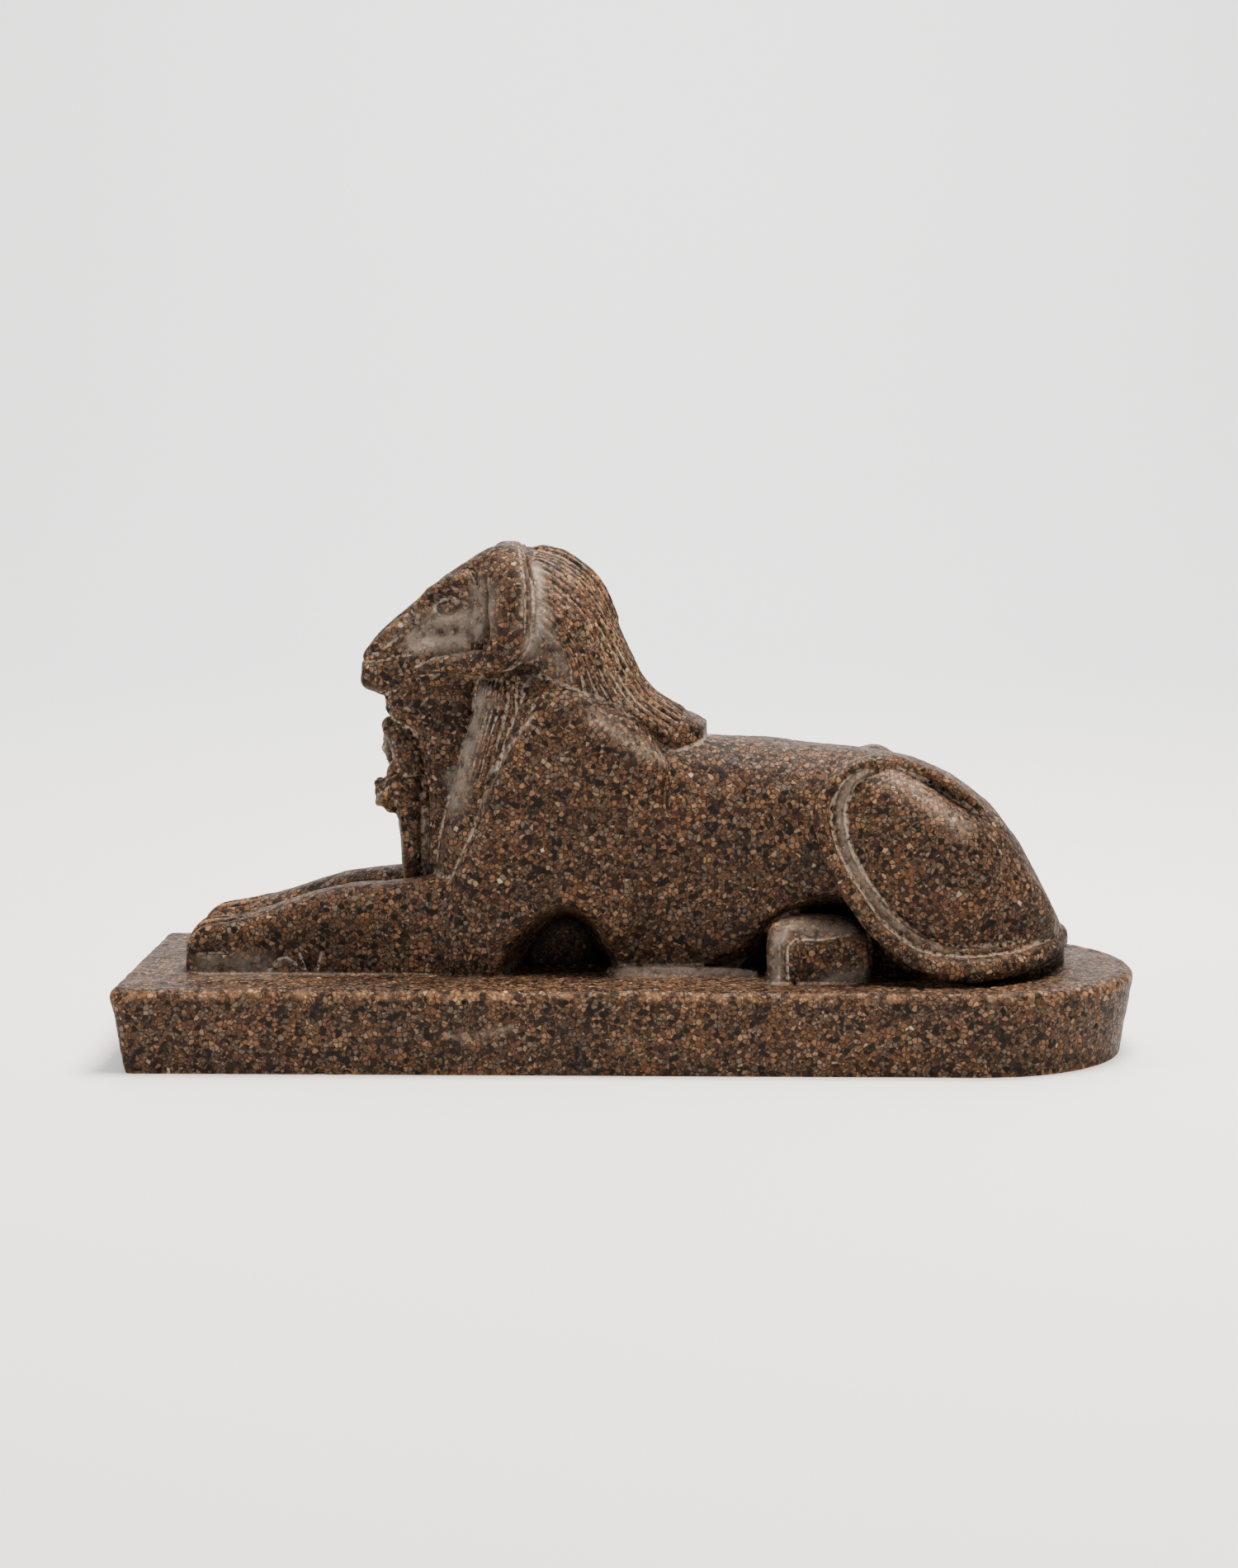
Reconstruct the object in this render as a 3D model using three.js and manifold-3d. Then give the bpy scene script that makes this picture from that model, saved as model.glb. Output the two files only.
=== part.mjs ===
// A ram-headed sphinx lying on its plinth, with a small standing king under its chin.
// Figure and plinth are one casting of crushed granite in resin, so the model is one solid.
// Millimetres, +Z up. The head faces -X and the rounded end of the plinth is at +X.
// The origin is the centre of the plinth's underside.
import * as THREE from "three";
import { mergeVertices } from "three/addons/utils/BufferGeometryUtils.js";
import Module from "manifold-3d";

// Driving dimensions
const figureLength = 249; // front paws to rump
const frontMargin = 17; // plinth in front of the paws
const rearMargin = 17; // plinth behind the rump
const sideMargin = 7; // plinth beside the haunches
const plinthHeight = 23.5;
const plinthDraftEnds = 3.6; // how far the foot of the plinth is drawn in at its two ends
const plinthDraftSides = 2; // and along its two sides
const plinthEdgeRadius = 2.4; // the soft edge round the top
const plinthCornerRadius = 4; // the two front corners, seen from above

// The figure is a free form. Its tables are drawn for a length of 249 with z from the plinth's top,
// and x from the middle of the figure.
const unit = figureLength / 249;
const haunchReach = 38 * unit; // half the figure's width, over the tail
const footing = -1.2; // how deep every form is rooted in the plinth, in the tables' units

const plinthLength = frontMargin + figureLength + rearMargin;
const plinthWidth = 2 * (haunchReach + sideMargin);

const wasm = await Module();
wasm.setup();

// Number helpers

const lerp = (a, b, t) => a + (b - a) * t;
const range = (count) => Array.from({ length: count }, (_, i) => i);
const signedPower = (value, power) => Math.sign(value) * Math.abs(value) ** power;

// A table of rows [t, a, b, ...] becomes a smooth function of t that never overshoots its rows.
function smoothTable(rows) {
  const slopeAt = (i, column) => {
    if (i === 0 || i === rows.length - 1) {
      const [p, q] = i === 0 ? [rows[0], rows[1]] : [rows[i - 1], rows[i]];
      return (q[column] - p[column]) / (q[0] - p[0]);
    }
    const [p, q, r] = [rows[i - 1], rows[i], rows[i + 1]];
    const before = (q[column] - p[column]) / (q[0] - p[0]);
    const after = (r[column] - q[column]) / (r[0] - q[0]);
    return before * after <= 0 ? 0 : (2 * before * after) / (before + after);
  };
  return (t) => {
    let i = rows.findIndex((row) => row[0] >= t);
    i = Math.min(Math.max(i < 0 ? rows.length - 1 : i, 1), rows.length - 1);
    const [p, q] = [rows[i - 1], rows[i]];
    const width = q[0] - p[0];
    const s = Math.min(Math.max((t - p[0]) / width, 0), 1);
    const rise = s * s * (3 - 2 * s);
    const leaving = s * (1 - s) * (1 - s) * width;
    const arriving = s * s * (s - 1) * width;
    return p
      .slice(1)
      .map((value, k) => {
        const column = k + 1;
        return (
          lerp(value, q[column], rise) + leaving * slopeAt(i - 1, column) + arriving * slopeAt(i, column)
        );
      });
  };
}

// Solids

// A closed geometry through rings of the same number of points, with a fan over each end.
function loft(rings) {
  const points = rings.flat();
  const around = rings[0].length;
  const last = (rings.length - 1) * around;
  const faces = [];
  for (const r of range(rings.length - 1)) {
    for (const i of range(around)) {
      const j = (i + 1) % around;
      const [a, b] = [r * around + i, r * around + j];
      faces.push(a, b, b + around, a, b + around, a + around);
    }
  }
  const middle = (ring) => ring.reduce((sum, p) => sum.map((v, k) => v + p[k] / ring.length), [0, 0, 0]);
  const [startHub, endHub] = [points.length, points.length + 1];
  points.push(middle(rings[0]), middle(rings[rings.length - 1]));
  for (const i of range(around)) {
    const j = (i + 1) % around;
    faces.push(startHub, j, i, endHub, last + i, last + j);
  }
  const geometry = new THREE.BufferGeometry();
  geometry.setAttribute("position", new THREE.Float32BufferAttribute(points.flat(), 3));
  geometry.setIndex(faces);
  return geometry;
}

// A closed geometry as a manifold-3d solid, turned the right way out.
function solidOf(geometry) {
  geometry.deleteAttribute("normal");
  geometry.deleteAttribute("uv");
  const merged = mergeVertices(geometry, 1e-4);
  const vertProperties = new Float32Array(merged.attributes.position.array);
  const triVerts = new Uint32Array(merged.index.array);
  const corner = (i) => new THREE.Vector3().fromArray(vertProperties, 3 * triVerts[i]);
  let volume = 0;
  for (let i = 0; i < triVerts.length; i += 3) {
    volume += corner(i).dot(corner(i + 1).cross(corner(i + 2)));
  }
  if (volume < 0) {
    for (let i = 0; i < triVerts.length; i += 3) {
      [triVerts[i + 1], triVerts[i + 2]] = [triVerts[i + 2], triVerts[i + 1]];
    }
  }
  return new wasm.Manifold(new wasm.Mesh({ numProp: 3, vertProperties, triVerts }));
}

const figurePoint = ([x, y, z]) => [x * unit, y * unit, z * unit + plinthHeight];
const figureLoft = (rings) => solidOf(loft(rings.map((ring) => ring.map(figurePoint))));
const mirrored = (rings) => rings.map((ring) => ring.map(([x, y, z]) => [x, -y, z]));
const pairOf = (rings) => [figureLoft(rings), figureLoft(mirrored(rings))];

// Rings that follow a table from its first row to its last. Rows may crowd where the form turns.
function ringsAlong(rows, steps, ringAt) {
  const at = smoothTable(rows);
  return range(steps + 1).map((i) => {
    const share = (i / steps) * (rows.length - 1);
    const k = Math.min(Math.floor(share), rows.length - 2);
    const t = lerp(rows[k][0], rows[k + 1][0], share - k);
    return ringAt(t, at(t));
  });
}

// An upright section across the body: a superellipse, widest at the share waist of its height.
// power is [over, under]: 2 is round and 4 nearly square. taper narrows it towards the top.
function crossSection(around, x, { top, bottom, halfWidth, middle = 0, waist = 0.45, power, taper = 0 }) {
  const widest = lerp(bottom, top, waist);
  return range(around).map((i) => {
    const angle = (2 * Math.PI * i) / around;
    const [over, under] = power;
    const bend = 2 / (Math.sin(angle) > 0 ? over : under);
    const rise = signedPower(Math.sin(angle), bend);
    const z = widest + rise * (rise > 0 ? top - widest : widest - bottom);
    const y = halfWidth * signedPower(Math.cos(angle), bend) * (1 - taper * rise);
    return [x, middle + y, z];
  });
}

// A level section through a standing form, from front to back.
function levelSection(around, z, { front, back, halfWidth, power }) {
  return range(around).map((i) => {
    const angle = (2 * Math.PI * i) / around;
    const x = (front + back) / 2 + ((back - front) / 2) * signedPower(Math.cos(angle), 2 / power);
    return [x, halfWidth * signedPower(Math.sin(angle), 2 / power), z];
  });
}

// A swelling on the near side: its outline in side view rises to a crown, like a shield's boss.
// outline is a list of [x, z], crown says how far out it stands at each place, power how square it is.
function boss(outline, { steps, around, root, crown, power }) {
  const curve = new THREE.CatmullRomCurve3(
    outline.map(([x, z]) => new THREE.Vector3(x, 0, z)),
    true,
    "centripetal",
  );
  const edge = curve.getSpacedPoints(around).slice(0, around);
  const hub = edge.reduce((sum, p) => sum.addScaledVector(p, 1 / around), new THREE.Vector3());
  return range(steps + 1).map((i) => {
    const angle = (i / steps) * 0.985 * (Math.PI / 2);
    const spread = signedPower(Math.cos(angle), 2 / power);
    const lift = signedPower(Math.sin(angle), 2 / power);
    return edge.map((p) => {
      const x = lerp(hub.x, p.x, spread);
      const z = lerp(hub.z, p.z, spread);
      return [x, -lerp(root, crown(x, z), lift), z];
    });
  });
}

// A bar along a path of rows [x, y, z, half width, half thickness]. outwardAt gives the way its
// broad side faces at each place.
function sweep(rows, { steps, around, power, outwardAt }) {
  const at = smoothTable(rows.map((row, i) => [i, ...row]));
  const place = (t) => new THREE.Vector3(...at(t).slice(0, 3));
  return range(steps + 1).map((i) => {
    const t = (i / steps) * (rows.length - 1);
    const [halfWidth, halfThickness] = at(t).slice(3);
    const ahead = place(Math.min(t + 0.05, rows.length - 1)).sub(place(Math.max(t - 0.05, 0))).normalize();
    const outward = outwardAt(place(t));
    outward.addScaledVector(ahead, -ahead.dot(outward)).normalize();
    const across = new THREE.Vector3().crossVectors(ahead, outward);
    return range(around).map((k) => {
      const angle = (2 * Math.PI * (k + 0.5)) / around;
      return place(t)
        .addScaledVector(across, halfWidth * signedPower(Math.cos(angle), 2 / power))
        .addScaledVector(outward, halfThickness * signedPower(Math.sin(angle), 2 / power))
        .toArray();
    });
  });
}

// Plinth

// Its outline seen from above, drawn in by an amount: square in front, half round behind.
function plinthOutline(inEnds, inSides) {
  const halfWidth = plinthWidth / 2 - inSides;
  const front = -plinthLength / 2 + inEnds;
  const back = plinthLength / 2 - inEnds;
  const corner = Math.max(plinthCornerRadius - inSides, 1);
  const shape = new THREE.Shape();
  shape.moveTo(front + corner, -halfWidth);
  shape.lineTo(back - halfWidth, -halfWidth);
  shape.absarc(back - halfWidth, 0, halfWidth, -Math.PI / 2, Math.PI / 2, false);
  shape.lineTo(front + corner, halfWidth);
  shape.absarc(front + corner, halfWidth - corner, corner, Math.PI / 2, Math.PI, false);
  shape.lineTo(front, -halfWidth + corner);
  shape.absarc(front + corner, -halfWidth + corner, corner, Math.PI, 1.5 * Math.PI, false);
  return shape.getPoints(8);
}

function plinth() {
  const shoulder = plinthHeight - plinthEdgeRadius;
  const levels = [
    [0, plinthDraftEnds, plinthDraftSides],
    [shoulder, 0, 0],
  ];
  for (const turn of [45, 90].map(THREE.MathUtils.degToRad)) {
    const inward = plinthEdgeRadius * (1 - Math.cos(turn));
    levels.push([shoulder + plinthEdgeRadius * Math.sin(turn), inward, inward]);
  }
  return solidOf(loft(levels.map(([z, ends, sides]) => plinthOutline(ends, sides).map((p) => [p.x, p.y, z]))));
}

// Body

function torso() {
  // x, top, half width
  const rows = [
    [-48, 62, 15],
    [-38, 72, 19],
    [-22, 73, 21.6],
    [0, 68, 22.6],
    [20, 65, 22.8],
    [40, 63.6, 23],
    [60, 61.4, 25],
    [78, 58.6, 28],
    [90, 53.2, 28.4],
    [100, 45.4, 26.4],
    [110, 32.6, 21.6],
    [116.4, 20.6, 15],
    [120, 13, 9.6],
    [121.6, 9, 5],
  ];
  return figureLoft(
    ringsAlong(rows, 19, (x, [top, halfWidth]) =>
      crossSection(22, x, { top, bottom: -5, halfWidth, waist: 0.42, power: [2.9, 3.4] }),
    ),
  );
}

// The chest between the forelegs, up to the throat.
function chest() {
  // z, front, back, half width
  const rows = [
    [footing, -53, -10, 19],
    [20, -54, -8, 20],
    [40, -50.5, -6, 20.5],
    [56, -47.5, -6, 20],
    [70, -45, -8, 18.5],
    [84, -44, -10, 17],
    [98, -42, -16, 15],
  ];
  return figureLoft(
    ringsAlong(rows, 8, (z, [front, back, halfWidth]) =>
      levelSection(20, z, { front, back, halfWidth, power: 2.6 }),
    ),
  );
}

function shoulders() {
  const outline = [
    [-15, 78],
    [-23.6, 77],
    [-30, 72],
    [-35.6, 63],
    [-39.4, 54],
    [-44, 40],
    [-50, 26],
    [-50, -2],
    [-26, -2],
    [-6, 6],
    [12, 24],
    [19, 40],
    [14, 54],
    [2.5, 64.2],
    [-7.6, 73],
  ];
  const crown = (x, z) => 26 - 0.0018 * (z - 40) ** 2 - 0.008 * Math.max(x + 20, 0) ** 2;
  return pairOf(boss(outline, { steps: 5, around: 24, root: 12, crown, power: 5 }));
}

function forelegs() {
  // x, top, inner y, outer y
  const rows = [
    [-124.4, 5, 9, 18],
    [-124, 8.4, 6.4, 20],
    [-122.4, 11.6, 5.4, 20.8],
    [-119, 14.2, 5, 21.2],
    [-110, 15.6, 5, 21.4],
    [-102, 17.4, 5.2, 21],
    [-92, 20.8, 5.2, 20.8],
    [-80, 24, 5, 21.2],
    [-66, 25.6, 5, 21.8],
    [-52, 27, 4.5, 22.4],
    [-43, 25, 4, 22.6],
    [-39, 17, 4, 22],
    [-37, 8, 4, 21],
  ];
  return pairOf(
    ringsAlong(rows, 15, (x, [top, inner, outer]) =>
      crossSection(14, x, {
        top,
        bottom: footing * 3,
        halfWidth: (outer - inner) / 2,
        middle: -(outer + inner) / 2,
        waist: 0.5,
        power: [3.2, 9],
      }),
    ),
  );
}

const haunchOutline = [
  [70, 62],
  [61.5, 58.8],
  [56, 53],
  [54, 46],
  [56.3, 37],
  [62, 26.5],
  [69.5, 18],
  [77, 12],
  [86, 8],
  [98, 6.4],
  [110, 8],
  [118, 12.5],
  [115, 22],
  [106, 33],
  [96, 44],
  [85, 54],
  [76, 60],
];

function haunches() {
  const crown = (x, z) => 32 - 0.004 * Math.max(z - 26, 0) ** 2 - 0.016 * Math.max(x - 86, 0) ** 2;
  return pairOf(boss(haunchOutline, { steps: 5, around: 28, root: 10, crown, power: 4 }));
}

function hindPaws() {
  // x, top, inner y, outer y
  const rows = [
    [36.8, 8, 18, 27],
    [37.4, 12, 15, 29.6],
    [39.5, 15.8, 12, 31],
    [45, 18.2, 10, 31.4],
    [54, 18.2, 10, 31.4],
    [61.6, 16.8, 10, 31.2],
    [64.6, 13.4, 10, 30.4],
    [65.8, 7, 10, 28.6],
  ];
  return pairOf(
    ringsAlong(rows, 8, (x, [top, inner, outer]) =>
      crossSection(14, x, {
        top,
        bottom: footing * 3,
        halfWidth: (outer - inner) / 2,
        middle: -(outer + inner) / 2,
        waist: 0.5,
        power: [4, 9],
      }),
    ),
  );
}

// The tail leaves the rump at the back, runs forward along the plinth on the near side,
// climbs in front of the haunch and lies back over its top.
function tail() {
  // x, y, z, half width, half thickness
  const rows = [
    [116, 9, 9.4, 2.4, 2.4],
    [119.8, 0, 8, 3, 3.2],
    [117, -10.4, 6.6, 3.2, 3.2],
    [110.6, -21, 5.6, 3.3, 3.4],
    [102.4, -29.4, 4.6, 3.4, 3.6],
    [91.5, -33.8, 4.2, 3.4, 3.6],
    [79.6, -33.8, 6.8, 3.2, 3.4],
    [69.2, -33, 14, 3, 3.2],
    [60.4, -31.8, 25, 2.8, 3],
    [54, -30.4, 37.2, 2.6, 3],
    [51.6, -29, 47.4, 2.4, 3],
    [55.2, -27.4, 56, 2.4, 3],
    [62.8, -25.8, 60.4, 2.4, 2.8],
    [72, -23.4, 60.8, 2.3, 2.6],
    [82, -20.6, 57, 2.2, 2.6],
    [90.5, -18.8, 51.2, 2, 2.6],
    [95.6, -18, 46.2, 1.4, 2.2],
  ];
  const outwardAt = ({ x, y }) => new THREE.Vector3(Math.max(x - 96, 0), y, 0);
  return figureLoft(sweep(rows, { steps: 38, around: 8, power: 2.4, outwardAt }));
}

// Head

function head() {
  // x, top, bottom, half width
  const rows = [
    [-76.6, 85.6, 80, 3.4],
    [-76, 87.6, 78.4, 5],
    [-73.8, 91, 77.2, 6.4],
    [-69, 95.8, 76, 7.6],
    [-62, 101.6, 75.2, 8.6],
    [-54, 108.8, 75, 10.4],
    [-46, 114.2, 75.6, 13],
    [-38, 118, 77, 15],
    [-28, 117.6, 78, 16],
  ];
  return figureLoft(
    ringsAlong(rows, 14, (x, [top, bottom, halfWidth]) =>
      crossSection(20, x, { top, bottom, halfWidth, waist: 0.42, power: [2.7, 2.8], taper: 0.22 }),
    ),
  );
}

// The eyes are low almonds under a brow that runs back to the horn.
function eyes() {
  const lid = [
    [-57, 99.6],
    [-54, 102.6],
    [-49.6, 103.8],
    [-44.6, 101.8],
    [-49, 99.4],
    [-53.4, 98.6],
  ];
  const brow = [
    [-58.4, 102],
    [-53, 107],
    [-46, 108.4],
    [-41, 106],
    [-46.4, 106],
    [-52.6, 104.4],
  ];
  const onCheek = (x, z) => 7.6 + 0.3 * (x + 62) - 0.06 * (z - 98);
  const raised = (outline, height) =>
    pairOf(boss(outline, { steps: 3, around: 10, root: 4, crown: (x, z) => onCheek(x, z) + height, power: 3 }));
  return [...raised(lid, 1.2), ...raised(brow, 1)];
}

// A broad horn curls from the crown down behind the cheek and forward along the jaw.
function horns() {
  // x, y, z, half width, half thickness
  const rows = [
    [-34.6, -2.5, 115.6, 4.6, 2.8],
    [-34.4, -9.6, 116, 5.6, 2.9],
    [-34, -15.4, 112.6, 5.9, 2.9],
    [-33.4, -18, 104, 5.9, 2.9],
    [-33.4, -18.6, 95.6, 5.6, 2.9],
    [-36.2, -18.2, 89.2, 4.6, 2.9],
    [-41.4, -17, 86.6, 3.4, 2.8],
    [-48, -14.6, 86.2, 2.6, 2.6],
    [-54.6, -12.2, 85, 2.2, 2.2],
    [-60.6, -10, 83.2, 1, 1.4],
  ];
  const outwardAt = ({ y, z }) => new THREE.Vector3(0, y, Math.max(z - 98, 0));
  return pairOf(sweep(rows, { steps: 20, around: 8, power: 3.2, outwardAt }));
}

// Wig

// Key locks from behind the horn down to the shoulder or the back, six places [x, y, z] along each.
// Their rows start with u, which is 0 on the crown and 1 at the lowest lock.
const keyLocks = [
  [0, [-30, 0, 118], [-21, 0, 116.6], [-10.4, 0, 109], [-3.2, 0, 94], [5, 0, 78.4], [20.9, 0, 69.2]],
  [0.3, [-29, -9, 116], [-22, -9.2, 112.6], [-12.4, -10, 104.4], [-5, -11, 92.6], [4, -11, 77.4], [19, -9.4, 68]],
  [
    0.5,
    [-26.8, -16, 109.6],
    [-20.4, -16.6, 105],
    [-14, -17.4, 98],
    [-8, -18, 87.4],
    [-1, -18, 75.9],
    [14, -13.6, 63.8],
  ],
  [
    0.64,
    [-26.4, -18.4, 105.6],
    [-21.6, -19, 102],
    [-16.4, -19.6, 96.4],
    [-11.6, -20, 88.6],
    [-7.4, -20.4, 80],
    [-3.8, -20.2, 74.6],
  ],
  [
    0.76,
    [-26, -19.8, 102.4],
    [-21.8, -20.4, 98.6],
    [-18, -20.8, 93.2],
    [-14.8, -21, 88],
    [-12.2, -21.4, 82],
    [-10.4, -21.2, 77.4],
  ],
  [
    0.88,
    [-26, -21, 98],
    [-22.8, -21.2, 95],
    [-20.4, -21.5, 91.4],
    [-18.4, -21.7, 87.4],
    [-16.6, -21.8, 83],
    [-15.6, -21.8, 79],
  ],
  [1, [-26, -21.6, 91], [-25.4, -21.8, 89], [-24.7, -22, 87], [-24, -22, 85], [-23.4, -22, 83], [-23, -22, 80]],
];
const placeOnLock = range(6).map((k) => smoothTable(keyLocks.map(([u, ...places]) => [u, ...places[k]])));

// A point of the wig: u runs across the locks, from -1 to 1, and v along them from 0 to 1.
function wigPoint(u, v, lift) {
  const places = placeOnLock.map((place, k) => [k / 5, ...place(Math.abs(u))]);
  const [x, y, z] = smoothTable(places)(v);
  const middle = new THREE.Vector3(lerp(-26, 6, v), 0, lerp(88, 46, v));
  const outward = new THREE.Vector3(x, y, z).sub(middle).normalize();
  return new THREE.Vector3(x, y, z)
    .addScaledVector(outward, lift)
    .multiply(new THREE.Vector3(1, u < 0 ? 1 : -1, 1))
    .toArray();
}

function wig() {
  const locks = 12; // on each side
  const steps = 9;
  const lockHeight = 0.9; // how far the ridges stand over the furrows between them
  const hemDepth = 6; // how far the wig's end reaches down into the back
  const crossing = (v) =>
    range(4 * locks + 1).map((k) => wigPoint(k / (2 * locks) - 1, v, k % 2 ? lockHeight : 0));
  const closed = (points) => {
    const [x, , z] = points[0];
    return [...points, [x, 12, z - 9], [x, -12, z - 9]];
  };
  const inHead = crossing(0).map(([x, y, z]) => [x - 9, y * 0.6, lerp(z, 92, 0.4)]);
  const inBack = crossing(1).map(([x, y, z]) => [x, y, z - hemDepth]);
  const rings = range(steps + 1).map((i) => crossing(i / steps));
  return figureLoft([inHead, ...rings, inBack].map(closed));
}

// The wig's front lappets fall over the chest on either side of the king.
function lappets() {
  // z, front, back, half width outwards from y = 8
  const rows = [
    [20, -56, -36, 10.4],
    [34, -54.4, -34, 11.8],
    [50, -50.6, -31, 12.6],
    [64, -47, -28, 12.6],
    [76, -44, -26, 12],
    [88, -42, -25, 10],
  ];
  return pairOf(
    ringsAlong(rows, 6, (z, [front, back, reach]) =>
      levelSection(18, z, { front, back, halfWidth: reach, power: 2.6 }).map(([x, y, level], i) => {
        const strand = i % 2 ? 0.7 : 0;
        return [x + strand * 0.5, Math.min(y, 3) - 8 - (y < 0 ? strand : 0), level];
      }),
    ),
  );
}

// King

// He stands against the chest on the plinth, arms crossed, under the ram's chin.
function king() {
  // z, front, back, half width
  const body = [
    [footing, -65.4, -54, 6],
    [10, -65.4, -54, 6.4],
    [30, -66.6, -54, 6.4],
    [43, -67, -54, 6.6],
    [49, -68, -54, 8],
    [52, -67.4, -54, 8.2],
    [54.4, -66, -54, 6],
    [56, -65, -54, 4.4],
  ];
  const crossedArms = [
    [42.6, -70.4, -60, 4.6],
    [45.4, -72.2, -60, 6.8],
    [49, -72, -60, 7.2],
    [51.6, -69.4, -60, 6.4],
  ];
  const headdress = [
    [54, -67, -56, 6.2],
    [57, -69, -56.6, 6.6],
    [62, -70.8, -57, 6.4],
    [66, -71, -57.6, 5.8],
    [68.6, -70, -58.4, 4.6],
    [69.8, -67.6, -60, 2.6],
  ];
  const beardAndWeb = [
    [footing, -60, -44, 8.6],
    [40, -60, -44, 8.6],
    [60, -62, -42, 8],
    [69, -67, -42, 6],
    [72, -69.6, -42, 4.6],
    [76, -69.8, -42, 4.6],
    [80, -66, -42, 5],
  ];
  const level = (rows, steps, around, power) =>
    figureLoft(
      ringsAlong(rows, steps, (z, [front, back, halfWidth]) =>
        levelSection(around, z, { front, back, halfWidth, power }),
      ),
    );
  return [
    level(body, 8, 12, 2.6),
    level(crossedArms, 4, 10, 2.4),
    level(headdress, 6, 12, 2.8),
    level(beardAndWeb, 7, 12, 2.8),
  ];
}

// Hollows

// Both are cut in from the side, to an outline in side view, and narrow towards their ends.
function sideHollow(outline, innerEnd) {
  return pairOf(boss(outline, { steps: 4, around: 20, root: 44, crown: () => innerEnd, power: 5 }));
}

function elbowHollows() {
  const outline = [
    [-38, -2],
    [-37.6, 2.4],
    [-32.6, 8],
    [-26.5, 13.8],
    [-17.4, 16.4],
    [-10.5, 12.8],
    [-6.6, 7.4],
    [-3, 2.6],
    [-2, -2],
  ];
  return sideHollow(outline, 12);
}

// Under the belly it is a thin slot, which opens out between the flank, the haunch and the hind paw.
function flankHollows() {
  const outline = [
    [-3, -2],
    [-2, 2.6],
    [8, 2.4],
    [21.5, 3.4],
    [30.6, 7.8],
    [37.4, 14.8],
    [44.2, 19.4],
    [53.3, 22.8],
    [61, 22.6],
    [66, 16],
    [68, 6],
    [66, -2],
  ];
  return sideHollow(outline, 16);
}

// Assembly

const joined = (solids) => solids.reduce((sum, solid) => sum.add(solid));
const trunk = joined([torso(), chest(), ...shoulders(), ...haunches()]);
const hollowed = [...elbowHollows(), ...flankHollows()].reduce((body, cut) => body.subtract(cut), trunk);
const figure = joined([
  hollowed,
  ...forelegs(),
  ...hindPaws(),
  tail(),
  head(),
  ...eyes(),
  ...horns(),
  wig(),
  ...lappets(),
  ...king(),
]);
const statue = figure.add(plinth());

function geometryOf(solid) {
  const { numProp, numVert, vertProperties, triVerts } = solid.getMesh();
  const positions = new Float32Array(numVert * 3);
  for (const i of range(numVert)) positions.set(vertProperties.subarray(i * numProp, i * numProp + 3), i * 3);
  const geometry = new THREE.BufferGeometry();
  geometry.setAttribute("position", new THREE.BufferAttribute(positions, 3));
  geometry.setIndex(new THREE.BufferAttribute(triVerts, 1));
  geometry.computeVertexNormals();
  return geometry;
}

const castGranite = new THREE.MeshStandardMaterial({ color: 0x5e4b3e, roughness: 0.38, metalness: 0 });

const sphinxStatue = new THREE.Mesh(geometryOf(statue), castGranite);
sphinxStatue.name = "sphinx_statue";

const model = new THREE.Group();
model.add(sphinxStatue);

export default model;
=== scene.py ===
import math

import bpy
import numpy as np
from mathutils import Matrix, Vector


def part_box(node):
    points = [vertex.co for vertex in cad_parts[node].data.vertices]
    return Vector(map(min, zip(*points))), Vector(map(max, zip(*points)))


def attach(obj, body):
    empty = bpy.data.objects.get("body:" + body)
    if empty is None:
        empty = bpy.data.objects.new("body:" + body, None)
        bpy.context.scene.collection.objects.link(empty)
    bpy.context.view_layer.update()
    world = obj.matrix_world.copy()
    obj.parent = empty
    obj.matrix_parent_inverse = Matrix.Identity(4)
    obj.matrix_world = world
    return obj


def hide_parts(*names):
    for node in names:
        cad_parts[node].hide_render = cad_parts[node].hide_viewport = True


# A ram-headed sphinx cast in crushed granite and resin, dressed over the frame's one solid.
# The figure's tables are in its own millimetres: x from the middle, z from the plinth's top.

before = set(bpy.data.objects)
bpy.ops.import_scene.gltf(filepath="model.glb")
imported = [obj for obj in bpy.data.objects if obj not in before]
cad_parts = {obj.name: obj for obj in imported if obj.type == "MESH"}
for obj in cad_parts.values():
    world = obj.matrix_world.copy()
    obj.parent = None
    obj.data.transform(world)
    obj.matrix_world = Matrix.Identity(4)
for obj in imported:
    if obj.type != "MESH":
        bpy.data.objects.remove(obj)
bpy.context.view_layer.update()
low, high = (np.array(corner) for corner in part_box("sphinx_statue"))
unit = (high[0] - low[0]) / 283  # metres for one of the tables' millimetres
plinthTop = 23.5
print("frame loaded, one table unit is", round(float(unit) * 1000, 4), "mm")


# Numbers

# Mixes a and b by t.
def lerp(a, b, t):
    return a + (b - a) * t


# Rises from 0 at start to 1 at end, level at both.
def ease(start, end, value):
    t = np.clip((value - start) / (end - start), 0, 1)
    return t * t * (3 - 2 * t)


# The power of a number's size, with the number's own sign.
def signedPower(value, power):
    return np.sign(value) * np.abs(value) ** power


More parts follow.
